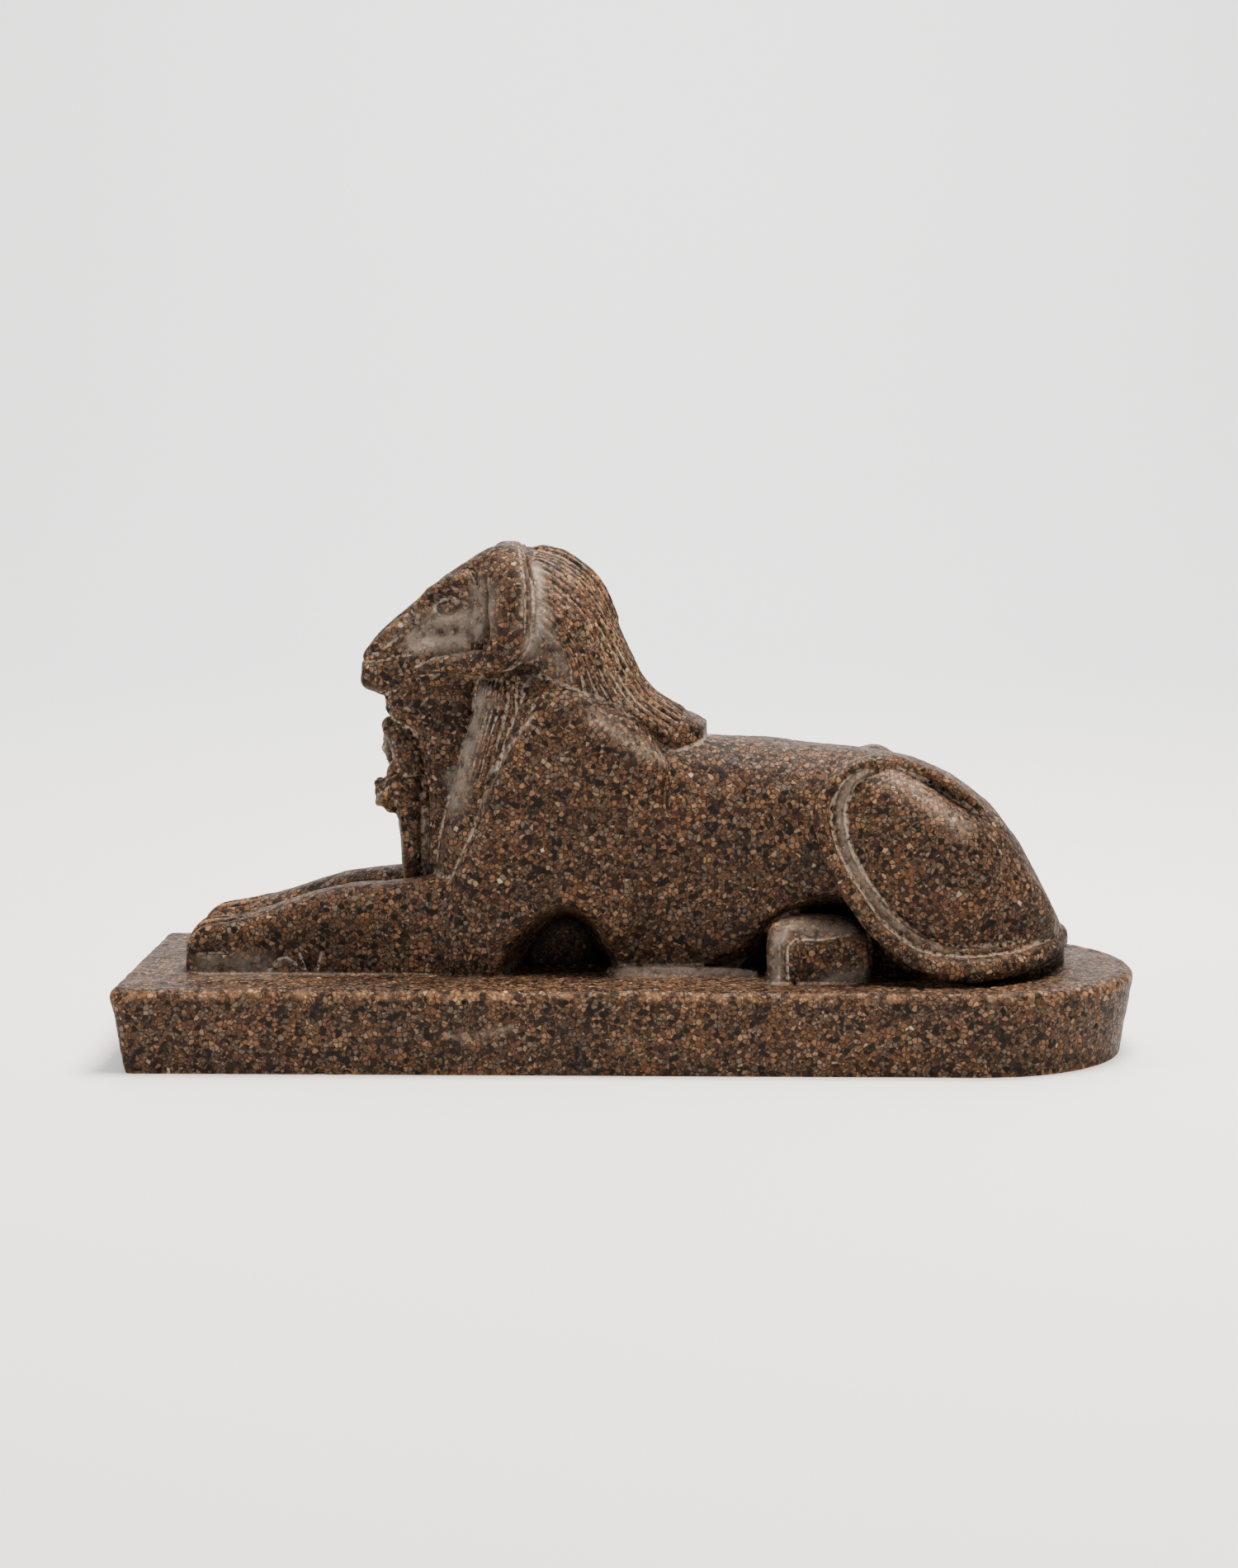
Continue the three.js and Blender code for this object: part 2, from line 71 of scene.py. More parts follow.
# Cubic pieces through rows [t, a, b, ...], each slope the harmonic mean of the two beside it, so
# that no column overshoots.
def smoothRows(rows, t):
    rows = np.asarray(rows, float)
    x, y = rows[:, 0], rows[:, 1:]
    rise = np.diff(y, axis=0) / np.diff(x)[:, None]
    same = rise[:-1] * rise[1:] > 0
    total = np.where(same, rise[:-1] + rise[1:], 1)
    slope = np.vstack([rise[:1], np.where(same, 2 * rise[:-1] * rise[1:] / total, 0), rise[-1:]])
    t = np.clip(t, x[0], x[-1])
    i = np.clip(np.searchsorted(x, t) - 1, 0, len(x) - 2)
    width = (x[i + 1] - x[i])[..., None]
    s = (t - x[i])[..., None] / width
    level = s * s * (3 - 2 * s)
    leaving, arriving = s * (1 - s) ** 2 * width, s * s * (s - 1) * width
    return lerp(y[i], y[i + 1], level) + leaving * slope[i] + arriving * slope[i + 1]


# Places along a table with the same number of steps between each two rows.
def alongRows(rows, steps):
    first = np.array([row[0] for row in rows], float)
    return np.interp(np.linspace(0, len(first) - 1, steps + 1), np.arange(len(first)), first)


# A smooth closed line through points, by centripetal Catmull-Rom pieces, at evenly spaced places.
def closedLine(points, count):
    p = np.asarray(points, float)
    before, after, later = np.roll(p, 1, 0), np.roll(p, -1, 0), np.roll(p, -2, 0)
    pairs = ((before, p), (p, after), (after, later))
    gap = [np.linalg.norm(b - a, axis=1)[:, None] ** 0.5 for a, b in pairs]
    leave = (p - before) / gap[0] - (after - before) / (gap[0] + gap[1]) + (after - p) / gap[1]
    arrive = (after - p) / gap[1] - (later - p) / (gap[1] + gap[2]) + (later - after) / gap[2]
    s = np.linspace(0, 1, 24, endpoint=False)[None, :, None]
    a, b, m, n = (v[:, None, :] for v in (p, after, leave * gap[1], arrive * gap[1]))
    line = lerp(a, b, s * s * (3 - 2 * s)) + s * (1 - s) ** 2 * m + s * s * (s - 1) * n
    line = line.reshape(-1, p.shape[1])
    length = np.r_[0, np.cumsum(np.linalg.norm(np.diff(np.vstack([line, line[:1]]), axis=0), axis=1))]
    at = np.linspace(0, length[-1], count, endpoint=False)
    return np.column_stack([np.interp(at, length, np.r_[line[:, k], line[0, k]]) for k in range(p.shape[1])])


# Shells: grids of rings [ring, place round it, xyz], closed by a fan at each end

# Turns a ring grid into points and triangles: two triangles for each cell and a fan over each end.
def shell(rings):
    count, around = rings.shape[:2]
    ring, place = np.meshgrid(np.arange(count - 1), np.arange(around), indexing="ij")
    a = ring * around + place
    b = ring * around + (place + 1) % around
    cells = np.stack([a, b, b + around, a, b + around, a + around], -1).reshape(-1, 3)
    i = np.arange(around)
    j = (i + 1) % around
    last = (count - 1) * around
    start, end = count * around, count * around + 1
    startFan = np.column_stack([0 * i + start, j, i])
    endFan = np.column_stack([0 * i + end, last + i, last + j])
    fans = np.vstack([startFan, endFan])
    points = np.vstack([rings.reshape(-1, 3), rings[0].mean(0), rings[-1].mean(0)])
    return points, np.vstack([cells, fans])


# The other side's twin: y changes sign.
def mirrored(rings):
    return rings * np.array([1, -1, 1])


# A shell's points moved off its surface by a height at each ring place, along the cross product of
# the two grid directions. An open grid doesn't join its last column to its first.
def raisedBy(rings, height, joined=True):
    along = np.gradient(rings, axis=0)
    around = np.roll(rings, -1, 1) - np.roll(rings, 1, 1) if joined else np.gradient(rings, axis=1)
    normal = np.cross(around, along)
    normal /= np.linalg.norm(normal, axis=2, keepdims=True) + 1e-9
    outward = rings - rings.mean(axis=1, keepdims=True)
    normal *= np.sign((normal * outward).sum(2, keepdims=True).mean())
    return rings + normal * height[..., None]


# Upright sections across the body: superellipses, widest at the share waist of their height, round
# at power 2 and nearly square at 4.
def crossSections(x, top, bottom, halfWidth, middle, waist, power, around, taper=0):
    angle = np.linspace(0, 2 * np.pi, around, endpoint=False)[None, :]
    rows = (x, top, bottom, halfWidth, middle)
    x, top, bottom, halfWidth, middle = (np.reshape(v, (-1, 1)) * np.ones((len(x), 1)) for v in rows)
    bend = 2 / np.where(np.sin(angle) > 0, power[0], power[1])
    widest = lerp(bottom, top, waist)
    rise = signedPower(np.sin(angle), bend)
    z = widest + rise * np.where(rise > 0, top - widest, widest - bottom)
    y = middle + halfWidth * signedPower(np.cos(angle), bend) * (1 - taper * rise)
    return np.stack([x + 0 * z, y, z], -1)


# Level sections through a standing form, superellipses from front to back.
def levelSections(rows, steps, around, power):
    z = alongRows(rows, steps)
    front, back, halfWidth = (column[:, None] for column in smoothRows(rows, z).T)
    angle = np.linspace(0, 2 * np.pi, around, endpoint=False)[None, :]
    x = (front + back) / 2 + (back - front) / 2 * signedPower(np.cos(angle), 2 / power)
    y = halfWidth * signedPower(np.sin(angle), 2 / power)
    return np.stack([x, y, z[:, None] + 0 * x], -1)


# A swelling on the near side: rings of its side outline shrink to a hub while they rise from root
# to crown, as the quarter of a superellipse.
def boss(outline, root, crown, power, steps=40, around=160):
    edge = closedLine(outline, around)
    hub = edge.mean(0)
    angle = np.linspace(0, 1, steps + 1)[:, None] * 0.985 * np.pi / 2
    spread, lift = np.cos(angle) ** (2 / power), np.sin(angle) ** (2 / power)
    x, z = lerp(hub[0], edge[:, 0], spread), lerp(hub[1], edge[:, 1], spread)
    return np.stack([x, -lerp(root, crown(x, z), lift), z], -1)


# A bar carried along rows [x, y, z, half width, half thickness]: at each step a flat section, given
# as across and out for each angle, is turned so that its broad side faces outwardAt.
def sweep(rows, outwardAt, steps, around, power, section=None):
    numbered = [[i, *row] for i, row in enumerate(rows)]
    t = np.linspace(0, len(rows) - 1, steps + 1)
    table = smoothRows(numbered, t)
    place, halfWidth, halfThickness = table[:, :3], table[:, 3:4], table[:, 4:5]
    ahead = smoothRows(numbered, t + 0.05)[:, :3] - smoothRows(numbered, t - 0.05)[:, :3]
    ahead /= np.linalg.norm(ahead, axis=1, keepdims=True)
    outward = outwardAt(place)
    outward -= ahead * (ahead * outward).sum(1, keepdims=True)
    outward /= np.linalg.norm(outward, axis=1, keepdims=True)
    sideways = np.cross(ahead, outward)
    angle = (np.arange(around) + 0.5) * 2 * np.pi / around
    across = signedPower(np.cos(angle), 2 / power)[None, :] * halfWidth
    out = signedPower(np.sin(angle), 2 / power)[None, :] * halfThickness
    if section:
        out = out + section(across / halfWidth, out / halfThickness, t[:, None])
    return place[:, None, :] + across[..., None] * sideways[:, None, :] + out[..., None] * outward[:, None, :]


# Plinth

plinthSizes = {
    "draftEnds": 3.6,
    "draftSides": 2.0,
    "edgeRadius": 2.4,
    "cornerRadius": 4.0,
}


# The outline seen from above: a square front with two small arcs, and a half circle behind.
def plinthOutline(inEnds, inSides):
    halfLength = (high[0] - low[0]) / unit / 2 - inEnds
    halfWidth = (high[1] - low[1]) / unit / 2 - inSides
    corner = max(plinthSizes["cornerRadius"] - inSides, 1)
    arcs = [
        (halfLength - halfWidth, 0, halfWidth, -90, 90, 49),
        (-halfLength + corner, halfWidth - corner, corner, 90, 180, 9),
        (-halfLength + corner, -halfWidth + corner, corner, 180, 270, 9),
    ]
    points = []
    for x, y, radius, start, end, count in arcs:
        angle = np.radians(np.linspace(start, end, count))
        points.append(np.column_stack([x + radius * np.cos(angle), y + radius * np.sin(angle)]))
    return np.vstack(points)


# Outlines stacked from the drawn-in foot up, and round the top edge as a quarter circle.
def plinthShell():
    radius = plinthSizes["edgeRadius"]
    levels = [(0, plinthSizes["draftEnds"], plinthSizes["draftSides"]), (plinthTop - radius, 0, 0)]
    for turn in np.radians([22, 45, 68, 90]):
        inward = radius * (1 - math.cos(turn))
        levels.append((plinthTop - radius + radius * math.sin(turn), inward, inward))
    rings = [np.column_stack([plinthOutline(e, s), np.full(67, z - plinthTop)]) for z, e, s in levels]
    return shell(np.stack(rings))


# Body

body = {
    "torso": [  # x, top, half width
        [-48, 62, 15],
        [-38, 72, 19],
        [-22, 73, 21.6],
        [0, 68, 22.6],
        [20, 65, 22.8],
        [40, 63.6, 23],
        [60, 61.4, 25],
        [78, 58.6, 28],
        [90, 53.2, 28.4],
        [100, 45.4, 26.4],
        [110, 32.6, 21.6],
        [116.4, 20.6, 15],
        [120, 13, 9.6],
        [121.6, 9, 5],
    ],
    "chest": [  # z, front, back, half width
        [-1.2, -53, -10, 19],
        [20, -54, -8, 20],
        [40, -50.5, -6, 20.5],
        [56, -47.5, -6, 20],
        [70, -45, -8, 18.5],
        [84, -44, -10, 17],
        [98, -42, -16, 15],
    ],
    "shoulder": [  # x, z
        [-15, 75.6],
        [-23.6, 74.8],
        [-30, 70],
        [-35.6, 62],
        [-39.4, 54],
        [-44, 40],
        [-50, 26],
        [-50, -2],
        [-26, -2],
        [-6, 6],
        [12, 24],
        [19, 40],
        [14, 52],
        [2.5, 62.4],
        [-7.6, 71.2],
    ],
    "ledge": [  # x, z
        [-14, 82],
        [-20, 84.6],
        [-26, 84],
        [-30, 79],
        [-33.4, 70],
        [-38, 58],
        [-42, 40],
        [-30, 20],
        [-10, 20],
        [6, 40],
        [10, 56],
        [4, 68],
        [-5, 76.6],
    ],
    "haunch": [  # x, z
        [69.4, 60.4],
        [61.8, 57.8],
        [56, 53],
        [54, 46],
        [56.3, 37],
        [62, 26.5],
        [69.5, 18],
        [77, 12],
        [86, 8],
        [98, 6.4],
        [110, 8],
        [118, 12.5],
        [115, 22],
        [106, 33],
        [96, 43],
        [85, 51.4],
        [76, 57.4],
    ],
    "haunchEdge": [[69, 60], [73.7, 58.6], [80.7, 54.5], [88.4, 48.8], [97.4, 42], [106, 33]],  # x, z
    "haunchBevel": 3.4,
    "haunchBevelWidth": 9.5,
    "foreleg": [  # x, top, inner y, outer y
        [-124.4, 5, 9, 18],
        [-124, 8.4, 6.4, 20],
        [-122.4, 11.6, 5.4, 20.8],
        [-119, 14.2, 5, 21.2],
        [-110, 15.6, 5, 21.4],
        [-102, 17.4, 5.2, 21],
        [-92, 20.8, 5.2, 20.8],
        [-80, 24, 5, 21.2],
        [-66, 25.6, 5, 21.8],
        [-52, 27, 4.5, 22.4],
        [-43, 25, 4, 22.6],
        [-39, 17, 4, 22],
        [-37, 8, 4, 21],
    ],
    "hindPaw": [  # x, top, inner y, outer y
        [36.8, 8, 18, 27],
        [37.4, 12, 15, 29.6],
        [39.5, 15.8, 12, 31],
        [45, 17.2, 10, 31.4],
        [54, 16.8, 10, 31.4],
        [61.6, 15, 10, 31.2],
        [64.6, 12.4, 10, 30.4],
        [65.8, 7, 10, 28.6],
    ],
    "shoulderReach": 26.2,  # y of its crown
    "ledgeReach": 25.4,  # y beside the arch, and further off
    "ledgeRoot": 20,
    "ledgeSlope": 10,  # over what distance it falls
    "haunchReach": 32,  # y of its crown, and how fast it leans in above and rounds off behind
    "haunchLean": 0.003,
    "haunchTurn": 0.016,
    "hindToes": [14.6, 19, 23.4, 27.4],  # y of the furrows between them
    "footing": -3.6,  # how deep legs are rooted in the plinth
    "blend": 5,  # smoothing steps that melt trunk, shoulders and haunches together
}


# Rings through the torso, widest at two fifths of its height.
def torsoRings():
    x = alongRows(body["torso"], 120)
    top, halfWidth = smoothRows(body["torso"], x).T
    return crossSections(x, top, -5, halfWidth, 0, 0.42, (2.9, 3.4), 120)


# The shoulder stands out under an arch. Its crown sinks to the torso's side behind.
def shoulderRings():
    def torsoReach(x, z):
        top, halfWidth = smoothRows(body["torso"], x.ravel()).T
        waist = lerp(-5, top, 0.42)
        rise = np.clip((z.ravel() - waist) / (top - waist), 0, 1)
        return (halfWidth * (1 - rise**2.9) ** (1 / 2.9)).reshape(x.shape)

    def crown(x, z):
        return lerp(body["shoulderReach"], torsoReach(x, z) - 0.5, ease(-8, 20, x))

    return boss(body["shoulder"], 10, crown, 8)


# Behind and over the shoulder's arch a ledge slopes in and up to the wig.
def ledgeRings():
    arch = closedLine(body["shoulder"], 60)

    def crown(x, z):
        places = np.column_stack([x.ravel(), z.ravel()])
        beyond = distanceTo(arch, places, closed=True) * (1 - insideOf(arch, places))
        share = ease(0, body["ledgeSlope"], beyond)
        return lerp(body["ledgeReach"], body["ledgeRoot"], share).reshape(x.shape)

    return boss(body["ledge"], 8, crown, 7)


# The haunch's crown leans in towards its ridge and rounds off to the rump.
def haunchRings():
    def crown(x, z):
        gap = distanceTo(body["haunchEdge"], np.column_stack([x.ravel(), z.ravel()])).reshape(x.shape)
        bevel = body["haunchBevel"] * ease(body["haunchBevelWidth"], 0, gap)
        lean = body["haunchLean"] * np.maximum(z - 26, 0) ** 2
        return body["haunchReach"] - lean - body["haunchTurn"] * np.maximum(x - 86, 0) ** 2 - bevel

    return boss(body["haunch"], 10, crown, 6.5)


# A leg or paw along x: nearly square sections between its inner and outer side.
def limbRings(rows, power, steps):
    x = alongRows(rows, steps)
    top, inner, outer = smoothRows(rows, x).T
    return crossSections(x, top, body["footing"], (outer - inner) / 2, -(outer + inner) / 2, 0.5, power, 64)


# Distance from places to a line of points, all in one plane: the least over its straight pieces.
def distanceTo(line, places, closed=False):
    start = np.asarray(line, float)
    end = np.roll(start, -1, 0)
    if not closed:
        start, end = start[:-1], end[:-1]
    best = np.full(len(places), np.inf)
    for a, b in zip(start, end):
        span = b - a
        share = np.clip(((places - a) @ span) / (span @ span), 0, 1)
        best = np.minimum(best, np.linalg.norm(places - a - share[:, None] * span, axis=1))
    return best


# Which places a closed outline holds: an odd number of its edges lies to the right of them.
def insideOf(outline, places):
    a = np.asarray(outline, float)
    odd = np.zeros(len(places), bool)
    for p, q in zip(a, np.roll(a, -1, 0)):
        spans = (p[1] > places[:, 1]) != (q[1] > places[:, 1])
        slope = (q[0] - p[0]) / (q[1] - p[1]) if q[1] != p[1] else 0
        odd ^= spans & (places[:, 0] < p[0] + (places[:, 1] - p[1]) * slope)
    return odd


hollows = {
    "elbow": {
        "floor": 7,  # y that is left of the body behind it
        "outline": [
            [-35.4, -16],
            [-34.8, 2.4],
            [-31.6, 9],
            [-26.5, 15.4],
            [-18.2, 18.8],
            [-11, 15],
            [-7.2, 8.4],
            [-5, 2.6],
            [-4, -16],
        ],
    },
    "flank": {
        "floor": 12,
        "outline": [
            [-3, -16],
            [-2, 1.2],
            [8, 1],
            [21.5, 2.4],
            [30.6, 7.4],
            [37.4, 14.8],
            [44.2, 19.4],
            [53.3, 22.8],
            [61, 22.6],
            [66, 16],
            [68, 6],
            [66, -16],
        ],
    },
    "wall": (-2.4, 5.2),  # from how far outside its outline to how far inside a hollow rolls in
}


# Round each outline y rolls in towards the hollow's floor, by a smooth step over the distance to it.
def pressHollows(points):
    side, reach = np.sign(points[:, 1]), np.abs(points[:, 1])
    for name in ("elbow", "flank"):
        line = closedLine(hollows[name]["outline"], 60)
        places = points[:, [0, 2]]
        depth = distanceTo(line, places, closed=True) * np.where(insideOf(line, places), 1, -1)
        share = ease(*hollows["wall"], depth)
        reach = np.minimum(reach, lerp(reach, hollows[name]["floor"], share))
    return np.column_stack([points[:, 0], side * reach, points[:, 2]])


# Tail

tail = {
    "path": [  # x, y, z, half width, half thickness
        [116, 9, 9.4, 2.4, 2.4],
        [119.8, 0, 8, 3, 3.2],
        [117, -10.4, 6.6, 3.2, 3.2],
        [110.6, -21, 5.6, 3.3, 3.4],
        [102.4, -29.4, 4.6, 3.4, 3.6],
        [91.5, -33.8, 4.2, 3.4, 3.6],
        [79.4, -34, 6.4, 2.7, 3.4],
        [68.7, -33.6, 13.5, 2.3, 3.4],
        [59.9, -32.6, 24.7, 2.3, 3.4],
        [53.6, -31.2, 36.9, 2.2, 3.4],
        [51.6, -29.6, 46.6, 2.2, 3.4],
        [55, -27.4, 54.8, 2.1, 3.2],
        [62.4, -24, 59.3, 1.9, 3],
        [71, -20.8, 59.9, 1.8, 2.8],
        [81.4, -19.6, 56.6, 1.8, 2.8],
        [90.6, -18.9, 51.2, 1.7, 2.7],
        [96.4, -18, 46.2, 1.2, 2.2],
    ],
}

resin = {
    "groove": [  # the same for resin that fills the groove beside the haunch
        [67, -24, 58, 1, 1],
        [62, -26.2, 57, 1.4, 1.6],
        [57.8, -28, 53, 1.6, 1.9],
        [56, -29, 46, 1.7, 2],
        [57.4, -29.4, 37.6, 1.8, 2],
        [63.4, -30, 26, 1.9, 2],
        [71.2, -30.6, 16.6, 2, 2],
        [79.4, -31, 10.6, 2, 2],
        [90, -30.6, 8, 1.8, 2],
        [101, -27.4, 8.2, 1.6, 1.8],
        [108.6, -21.6, 9.2, 1.2, 1.4],
    ],
    "belly": [  # and along the joint under the belly
        [-7, -19.6, 0.6, 1.4, 1.6],
        [0, -20.4, 0.5, 1.9, 1.8],
        [12, -20.6, 0.5, 2, 1.9],
        [24, -20.2, 0.5, 1.9, 1.7],
        [35, -19, 0.4, 1, 1.2],
    ],
}


# A round bar along the tail's path, its broad side turned out from the rump, and flatter ones of resin.
def tailShells():
    def outwardAt(place):
        return np.column_stack([np.maximum(place[:, 0] - 96, 0), place[:, 1], 0 * place[:, 0]])

    belly = sweep(resin["belly"], outwardAt, 120, 24, 2.2)
    return [
        shell(sweep(tail["path"], outwardAt, 420, 32, 2.4)),
        shell(sweep(resin["groove"], outwardAt, 300, 24, 3)),
        shell(belly),
        shell(mirrored(belly)),
    ]


# Head

head = {
    "rows": [  # x, top, bottom, half width
        [-76.6, 85.6, 80, 3.4],
        [-76, 87.6, 78.4, 5],
        [-73.8, 91, 77.2, 6.4],
        [-69, 95.8, 76, 7.6],
        [-62, 101.6, 76.6, 8.4],
        [-54, 108.8, 80.4, 9.6],
        [-46, 114.2, 80.6, 11.6],
        [-38, 118, 80, 13.6],
        [-28, 117.6, 78, 16],
    ],
    "horn": [  # x, y, z, half width, half thickness
        [-35.2, -2.5, 115.6, 3.6, 2.8],
        [-35, -9.6, 116, 4.5, 3],
        [-34.4, -15.4, 112.8, 5.4, 3.4],
        [-33.4, -18.4, 104, 5.9, 3.6],
        [-33.4, -19, 95.6, 5.6, 3.6],
        [-36.2, -18.6, 89.2, 4.6, 3.4],
        [-41.4, -17.2, 86.6, 3.2, 3.2],
        [-48, -14.8, 86.2, 2.4, 2.9],
        [-54.6, -12.2, 85, 2, 2.6],
        [-60.6, -9.6, 83.2, 1, 1.8],
    ],
    "rimPlace": 0.72,  # where the horn's back rim starts, as a share of its half width
    "rimGroove": 0.9,
}


# Rings along the muzzle and skull, a little narrower above.
def headShell():
    x = alongRows(head["rows"], 150)
    top, bottom, halfWidth = smoothRows(head["rows"], x).T
    return shell(crossSections(x, top, bottom, halfWidth, 0, 0.42, (2.7, 2.8), 120, taper=0.22))


# A horn is a flat bar curled round the cheek, with a groove that parts a rim from its back edge.
def hornRings():
    def outwardAt(place):
        return np.column_stack([0 * place[:, 0], place[:, 1], np.maximum(place[:, 2] - 98, 0)])

    def rim(across, out, t):
        groove = np.exp(-(((-across - head["rimPlace"]) / 0.07) ** 2))
        return -head["rimGroove"] * groove * (out > 0.3) * (1 - ease(4.4, 5.6, t))

    return sweep(head["horn"], outwardAt, 240, 64, 3.2, rim)


# Wig

wig = {
    "locks": [  # u, then six places from behind the horn to the shoulder or the back
        [0, [-30, 0, 118], [-21, 0, 116.6], [-10.4, 0, 109], [-3.2, 0, 94], [5, 0, 78.4], [20.9, 0, 69.2]],
        [
            0.3,
            [-29, -9, 116],
            [-22, -9.2, 112.6],
            [-12.4, -10, 104.4],
            [-5, -11, 92.6],
            [4, -11, 77.4],
            [19, -9.4, 68],
        ],
        [
            0.5,
            [-26.8, -16, 109.6],
            [-20.4, -16.6, 105],
            [-14, -17.4, 98],
            [-8, -18, 87.4],
            [-1, -18, 75.9],
            [14, -13.6, 63.8],
        ],
        [
            0.64,
            [-26.4, -18.4, 105.6],
            [-21.6, -19, 102],
            [-16.4, -19.6, 96.4],
            [-11.6, -20, 88.6],
            [-8.4, -20.6, 81.4],
            [-4.6, -20.6, 75.8],
        ],
        [
            0.76,
            [-26, -19.8, 102.4],
            [-21.8, -20.4, 98.6],
            [-18, -20.8, 93.2],
            [-14.8, -21, 88],
            [-13, -21.6, 83.4],
            [-11.6, -21.8, 79],
        ],
        [
            0.88,
            [-26, -21, 98],
            [-22.8, -21.2, 95],
            [-20.4, -21.5, 91.4],
            [-18.4, -21.7, 87.4],
            [-18, -22, 85],
            [-18, -22.2, 81.2],
        ],
        [
            1,
            [-26, -21.6, 91],
            [-25.8, -21.8, 89.6],
            [-25.6, -22, 88.4],
            [-25.4, -22, 87.2],
            [-25.1, -22, 85.8],
            [-24.8, -22, 84],
        ],
    ],
    # u, how many strands up to it
    "strands": [[0, 0], [0.3, 5.6], [0.5, 9], [0.64, 11.6], [0.76, 13.6], [0.88, 15.4], [1, 17]],
    "columns": 360,
    "ridge": 1.6,
    "sunk": 1.2,  # how far the furrows lie under the locks' table
    "bandWidth": 0.1,  # of the raised band down the middle of the crown, as a share of one side
    "bandEnd": 0.57,
    "bandHeight": 0.8,
    "hem": 0.93,  # where the strands stop before the wig's end
    "hemDepth": 9,
    "steps": 170,
}


# A surface over u, across the strands from the near side to the far one, and v, along them: the six
# places of each key lock are smoothed over u and then over v.
def wigSurface(u, v):
    places = []
    for k in range(6):
        rows = [[row[0], *row[k + 1]] for row in wig["locks"]]
        places.append(smoothRows(rows, np.abs(u)))
    stacked = np.column_stack([np.arange(6) / 5, np.stack(places).reshape(6, -1)])
    surface = smoothRows(stacked, v).reshape(len(v), len(u), 3)
    surface[..., 1] *= np.where(u < 0, 1, -1)
    return surface


# Strand ridges are rounded humps over each strand's width. They fade in behind the horn and end at the
# hem, and the middle band stands over them.
def wigHeight(u, v):
    phase = smoothRows(wig["strands"], np.abs(u)).T % 1
    v = v[:, None]
    hump = (1 - np.abs(2 * phase - 1) ** 2.2) ** 0.6
    strand = wig["ridge"] * lerp(0.35, hump, ease(0.01, 0.1, v))
    onBack = ease(0.62, 0.56, np.abs(u))[None, :]
    pastHem = ease(wig["hem"], wig["hem"] + 0.012, v) * onBack
    hemLine = np.exp(-(((v - wig["hem"]) / 0.008) ** 2)) * onBack
    strand = lerp(strand, 0.8 * wig["ridge"], pastHem) - 0.5 * hemLine
    width = wig["bandWidth"]
    band = ease(width, width - 0.02, np.abs(u))[None, :] * ease(wig["bandEnd"], wig["bandEnd"] - 0.02, v)
    return strand - wig["sunk"] + wig["bandHeight"] * band


# The surface gets its strands, and is then closed through the head, the back and below.
def wigShell():
    u = np.linspace(-1, 1, wig["columns"] + 1)
    v = np.linspace(0, 1, wig["steps"] + 1)
    surface = wigSurface(u, v)
    surface = raisedBy(surface, wigHeight(u, v), joined=False)
    inHead = surface[:1] * np.array([1, 0.6, 0.6]) + np.array([-9, 0, 36.8])
    onSide = ease(0.5, 0.64, np.abs(u))[:, None]
    inBack = surface[-1:] * lerp(np.array([1, 0.9, 1]), np.array([1, 0.7, 1]), onSide)
    inBack = inBack - np.array([0, 0, 1]) * lerp(wig["hemDepth"], 1, onSide)
    surface = np.vstack([inHead, surface, inBack])
    corner = surface[:, :1] * np.array([1, 0, 1]) - np.array([0, 0, 9])
    near, far = corner + np.array([0, -12, 0]), corner + np.array([0, 12, 0])
    return shell(np.concatenate([surface, far, near], axis=1))


lappet = {
    "rows": [  # z, front, back, reach outwards from y = 8
        [20, -56, -36, 10.4],
        [34, -54.4, -34, 11.8],
        [50, -50.6, -31, 12.6],
        [64, -47, -28, 12.6],
        [75, -44, -25, 12.2],
        [79.6, -43.4, -25, 11.4],
        [81.6, -42.4, -26, 8],
        [82.4, -40, -28, 5],
    ],
    "strands": 36,  # round the whole section
    "ridge": 0.8,
}


# A lappet hangs over the chest: level sections cut flat inside, with ridges running down that fade out.
def lappetRings():
    count = 8 * lappet["strands"]
    rings = levelSections(lappet["rows"], 90, count, 2.6)
    turn = np.linspace(0, 1, count, endpoint=False)
    height = lappet["ridge"] * (1 - np.abs(np.sin(turn * np.pi * lappet["strands"])) ** 3)
    fade = ease(38, 62, rings[:, :, 2])
    rings = raisedBy(rings, -height[None, :] * fade)
    rings[..., 1] = np.minimum(rings[..., 1], 3) - 8
    return rings


# King

